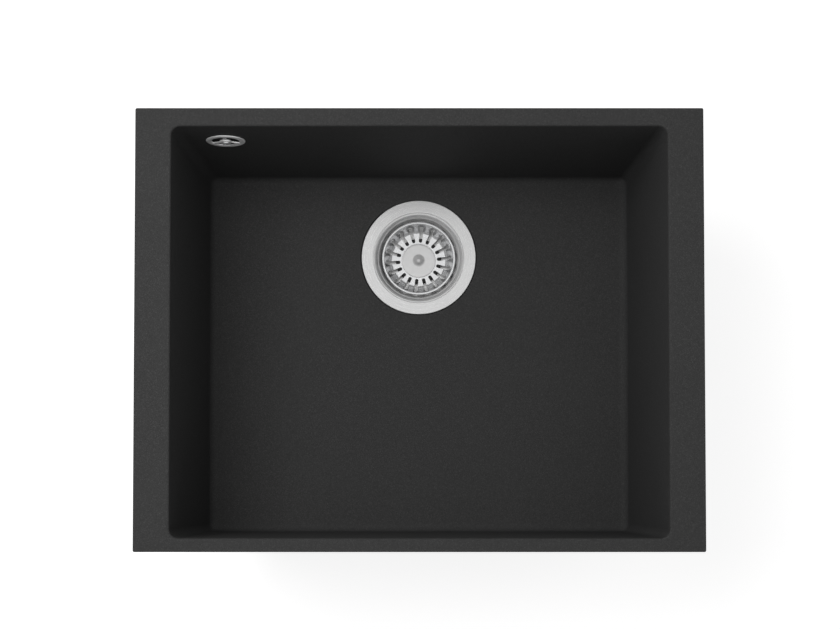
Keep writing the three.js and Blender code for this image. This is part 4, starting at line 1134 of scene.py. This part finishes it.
def make_rosette():
    """A round-faced ring with a hub and three flared spokes, the first of which stands straight up."""
    back, front = -0.3 * MM, -0.3 * MM - ROSETTE_THICKNESS
    inner = ROSETTE_OPENING - 0.6 * MM
    outline = [(inner, back, 0), (ROSETTE, back, 0)]
    for step in range(1, 16):
        angle = math.pi * step / 16
        reach = (ROSETTE + inner) / 2 + (ROSETTE - inner) / 2 * math.cos(angle)
        outline.append((reach, back - ROSETTE_CROWN * math.sin(angle) ** 0.8, 0))
    made = turned("rosette_ring", list(reversed(outline)), 96, IN_OVERFLOW, steps=5)
    hub = [(0, back, 0), (5.6 * MM, back, 0.3 * MM), (5.2 * MM, front, 0.6 * MM), (0, front, 0)]
    parts = [turned("rosette_hub", list(reversed(hub)), 64, IN_OVERFLOW)]
    for i in range(3):
        place = IN_OVERFLOW @ Matrix.Rotation(TURN * i / 3 - QUARTER, 4, "Z")
        rings = []
        for step in range(13):
            share = step / 12
            half = SPOKE_WAIST + SPOKE_FLARE * (2 * share - 1) ** 4
            section = softened([
                (-half, back - 0.05 * MM, 0),
                (half, back - 0.05 * MM, 0),
                (half * 0.8, back - SPOKE_THICKNESS, 0.6 * MM),
                (-half * 0.8, back - SPOKE_THICKNESS, 0.6 * MM),
            ])
            rings.append([place @ Vector(((ROSETTE_OPENING + 1 * MM) * share, p.x, p.y)) for p in section])
        parts.append(lofted("rosette_spoke", rings))
    combined(made, parts, "UNION")
    hole = ring_outline(0, 2.2 * MM, front - 1 * MM, back + 1 * MM)
    combined(made, [turned("screw_way", hole, 32, IN_OVERFLOW)])
    # The rosette's paler steel is painted light on the shaded back wall.
    return piece(made, LIT_SATIN, "sink", "overflow_rosette", sharp=34)


def make_overflow_screw():
    under = -0.6 * MM - ROSETTE_THICKNESS
    crown = under - 1.6 * MM
    shank = 1.9 * MM
    tip = ELBOW_FROM + 5 * MM
    outline = [(0, crown, 0)]
    outline += [(SCREW_HEAD * cos, under - (under - crown) * sin, 0) for cos, sin in reversed(arc(8)[:-1])]
    outline += [(shank, under, 0), (shank, tip - 1 * MM, 0), (shank * 0.5, tip, 0), (0, tip, 0)]
    made = turned("screw_with_head", outline, 48, IN_OVERFLOW)
    half, reach, depth = 0.4 * MM, 1.9 * MM, under - 0.8 * MM
    cross = [
        bar("cross_a", (-reach, -half, crown - 1 * MM), (reach, half, depth), IN_OVERFLOW),
        bar("cross_b", (-half, -reach, crown - 1 * MM), (half, reach, depth), IN_OVERFLOW),
    ]
    combined(made, cross)
    return piece(made, POLISHED, "sink", "overflow_screw")


def make_overflow_seal():
    outline = ring_outline(OVERFLOW_HOLE + 0.3 * MM, 20 * MM, SEAL_FROM, SEAL_FROM + 2 * MM, 0.6 * MM)
    return piece(turned("overflow_gasket", outline, 72, IN_OVERFLOW), RUBBER, "sink", "overflow_seal")


def make_elbow():
    """A shallow dish behind the wall that gathers the water into a tube and spigot."""
    back = ELBOW_FROM + ELBOW_DEPTH
    reach, thick, bevel = 21 * MM, 2.5 * MM, 4 * MM
    outside = [
        (0, ELBOW_FROM, 0),
        (reach, ELBOW_FROM, 0.5 * MM),
        (reach, ELBOW_FROM + 5 * MM, 2 * MM),
        (reach - bevel, back, 2.5 * MM),
        (0, back, 0),
    ]
    made = turned("elbow_moulding", outside, 72, IN_OVERFLOW)
    tube_place = OVERFLOW @ Matrix.Translation((0, WALL_OUTSIDE + HOSE_FROM_WALL, 0))
    tube, crown = 9.4 * MM, -17.4 * MM
    end = SPIGOT_TOP - SPIGOT_LENGTH
    body = [(0, end, 0), (SPIGOT - 0.6 * MM, end, 0.2 * MM), (SPIGOT, end + 1 * MM, 0.3 * MM)]
    body += [(SPIGOT, SPIGOT_TOP, 0.4 * MM), (tube, SPIGOT_TOP, 0.8 * MM)]
    body += [(tube * cos, crown + tube * sin, 0) for cos, sin in arc(10)[:-1]] + [(0, crown + tube, 0)]
    combined(made, [turned("elbow_tube", body, 64, tube_place)], "UNION")
    inside = [
        (0, ELBOW_FROM - 1 * MM, 0),
        (reach - thick, ELBOW_FROM - 1 * MM, 0),
        (reach - thick, ELBOW_FROM + 5 * MM, 1.5 * MM),
        (reach - bevel - thick, back - thick, 1.5 * MM),
        (0, back - thick, 0),
    ]
    way = ring_outline(0, SPIGOT_BORE, end - 1 * MM, crown)
    hollow = turned("elbow_hollow", inside, 72, IN_OVERFLOW)
    combined(made, [hollow, turned("elbow_way", way, 48, tube_place)])
    boss_end = back - 1.2 * MM
    boss = [(0, ELBOW_FROM, 0), (4 * MM, ELBOW_FROM, 0.3 * MM), (4 * MM, boss_end, 0), (0, boss_end, 0)]
    combined(made, [turned("elbow_boss", boss, 40, IN_OVERFLOW)], "UNION")
    screw_way = ring_outline(0, 2.2 * MM, ELBOW_FROM - 1 * MM, ELBOW_FROM + 5.3 * MM)
    combined(made, [turned("elbow_screw_way", screw_way, 32, IN_OVERFLOW)])
    return piece(made, PLASTIC, "sink", "overflow_elbow", sharp=30)


def make_hose():
    """A blow-moulded hose: smooth cuffs at both ends and round ribs between them."""
    crest, valley, bore = 10.2 * MM, 8.6 * MM, 7.2 * MM
    cuff_bore = 8.4 * MM
    ribbed = HOSE.length - 2 * HOSE.cuff
    ribs = round(ribbed / (4.5 * MM))
    pitch = ribbed / ribs
    steps = 8
    outside = [(0, crest - 0.7 * MM), (0.4 * MM, crest - 0.2 * MM), (1 * MM, crest)]
    outside.append((HOSE.cuff - 1 * MM, crest))
    for i in range(ribs * steps + 1):
        swell = 0.5 + 0.5 * math.cos(TURN * i / steps)
        outside.append((HOSE.cuff + pitch * i / steps, valley + (crest - valley) * swell**0.6))
    outside += [(HOSE.length - d, r) for d, r in reversed(outside[:4])]
    inside = [(HOSE.length, cuff_bore), (HOSE.length - HOSE.cuff, cuff_bore)]
    inside += [(HOSE.length - HOSE.cuff - 0.5 * MM - (ribbed - 1 * MM) * i / 60, bore) for i in range(61)]
    inside += [(HOSE.cuff, cuff_bore), (0, cuff_bore)]
    made = lofted("hose_tube", HOSE.rings(outside + inside, 48), closed=True)
    return piece(made, HOSE_PLASTIC, "sink", "overflow_hose", sharp=60)


def make_clamps():
    """Spring band clamps with two lugs that are squeezed to open them."""
    inner, thick, wide = 10.6 * MM, 1.1 * MM, 8 * MM
    upper_z = SPIGOT_TOP - 0.3 * MM - HOSE.cuff / 2
    upper = OVERFLOW @ Matrix.Translation((0, WALL_OUTSIDE + HOSE_FROM_WALL, upper_z))
    middle_point = HOSE.end - HOSE.inward * (HOSE.cuff / 2)
    first = Vector((0, 0, -1))
    axes = (first, HOSE.inward.cross(first), HOSE.inward)
    lower = Matrix.Translation(middle_point) @ Matrix(axes).transposed().to_4x4()
    outer = inner + thick
    for name, place in (("clamp_upper", upper), ("clamp_lower", lower)):
        made = turned(name, ring_outline(inner, outer, -wide / 2, wide / 2, 0.2 * MM), 72, place, steps=2)
        lugs = []
        for side in (-1, 1):
            near, far = side * 1 * MM, side * (1 * MM + thick)
            low, high = min(near, far), max(near, far)
            near_corner = (inner + 0.3 * MM, low, -wide / 2)
            lugs.append(bar("lug", near_corner, (outer + 5 * MM, high, wide / 2), place))
        combined(made, lugs, "UNION")
        combined(made, [bar("slit", (inner - 1 * MM, -1 * MM, -wide), (outer + 6 * MM, 1 * MM, wide), place)])
        bevelled(made, 0.25 * MM)
        piece(made, DULL, "sink", "hose_" + name)


# ----------------------------------------------------------------------------------------------------
# Stage: floor, lights and camera
# ----------------------------------------------------------------------------------------------------


def seen_directly(tree):
    """1 for rays from the camera, from gloss or through glass, and 0 for the rays that light things."""
    path = tree.nodes.new("ShaderNodeLightPath")
    either = path.outputs["Is Camera Ray"]
    for output in ("Is Glossy Ray", "Is Transmission Ray"):
        join = tree.nodes.new("ShaderNodeMath")
        join.operation = "MAXIMUM"
        tree.links.new(either, join.inputs[0])
        tree.links.new(path.outputs[output], join.inputs[1])
        either = join.outputs[0]
    return either


def make_floor():
    """A plain pale floor, white to the camera, which keeps the soft shadow and is clear from below."""
    size = 14.0
    shadow_reach, all_white, near_glow = 0.5, 1.6, 0.79
    z = bottom("tailpiece") - HAIR
    corners = [(-size, -size, z), (size, -size, z), (size, size, z), (-size, size, z)]
    floor = shape("floor", corners, [(0, 1, 2, 3)])
    finish = Finish("pale_floor", Base_Color=grey(0.4), Roughness=0.9, Specular_IOR_Level=0.0)
    distance = finish.node("ShaderNodeVectorMath", {"operation": "LENGTH"}, finish.place, output="Value")
    glow = finish.node("ShaderNodeMapRange", {}, distance, shadow_reach, all_white, near_glow, 1.0)
    finish.drive("Emission Color", glow)
    tree = finish.tree
    tree.links.new(seen_directly(tree), finish.shader.inputs["Emission Strength"])
    sides = tree.nodes.new("ShaderNodeMixShader")
    tree.links.new(tree.nodes.new("ShaderNodeNewGeometry").outputs["Backfacing"], sides.inputs[0])
    tree.links.new(finish.shader.outputs[0], sides.inputs[1])
    tree.links.new(tree.nodes.new("ShaderNodeBsdfTransparent").outputs[0], sides.inputs[2])
    tree.links.new(sides.outputs[0], tree.nodes["Material Output"].inputs["Surface"])
    floor.data.materials.append(finish.material)


def make_world():
    world = bpy.data.worlds.new("studio")
    world.use_nodes = True
    tree = world.node_tree
    light = tree.nodes["Background"]
    light.inputs["Color"].default_value = grey(1.0)
    strength = tree.nodes.new("ShaderNodeMix")
    strength.data_type = "FLOAT"
    strength.inputs[2].default_value = 0.35
    strength.inputs[3].default_value = 1.0
    tree.links.new(seen_directly(tree), strength.inputs[0])
    tree.links.new(strength.outputs[0], light.inputs["Strength"])
    bpy.context.scene.world = world


def make_light(name, place, target, size, power):
    lamp = bpy.data.lights.new(name, "AREA")
    lamp.shape = "SQUARE"
    lamp.size = size
    lamp.energy = power
    made = bpy.data.objects.new(name, lamp)
    made.visible_glossy = False
    made.location = place
    made.rotation_euler = (Vector(target) - Vector(place)).to_track_quat("-Z", "Y").to_euler()
    bpy.context.scene.collection.objects.link(made)


def make_camera():
    """Almost straight above the front of the bowl, at the photograph's distance."""
    camera = bpy.data.cameras.new("camera")
    camera.lens = 66.36
    camera.sensor_width = 36
    camera.shift_x = 0.0075
    camera.shift_y = 0.14
    camera.clip_start = 0.01
    made = bpy.data.objects.new("camera", camera)
    made.location = (-0.005, -0.1376, 1.3512)
    made.rotation_euler = (math.radians(2.0), 0, 0)
    bpy.context.scene.collection.objects.link(made)
    bpy.context.scene.camera = made


# ----------------------------------------------------------------------------------------------------
# Assembly
# ----------------------------------------------------------------------------------------------------

make_camera()
make_world()
make_light("key", (-0.42, 0.2, 1.05), (0, 0, -0.1), 0.7, 15)
make_light("fill", (0.8, 0.0, 1.9), (0, 0, -0.1), 1.2, 4)
make_floor()

make_bowl()
make_inserts()
make_cup()
make_basket()
make_plate()
make_knob()
make_stem()
make_hub()
make_stopper()
make_seals()
make_waste_body()
make_waste_outlet()
make_bridge()
make_bolt()
make_nut()
make_tailpiece()
make_rosette()
make_overflow_screw()
make_overflow_seal()
make_elbow()
make_hose()
make_clamps()

bpy.context.scene.view_settings.view_transform = "Standard"

bpy.context.view_layer.update()
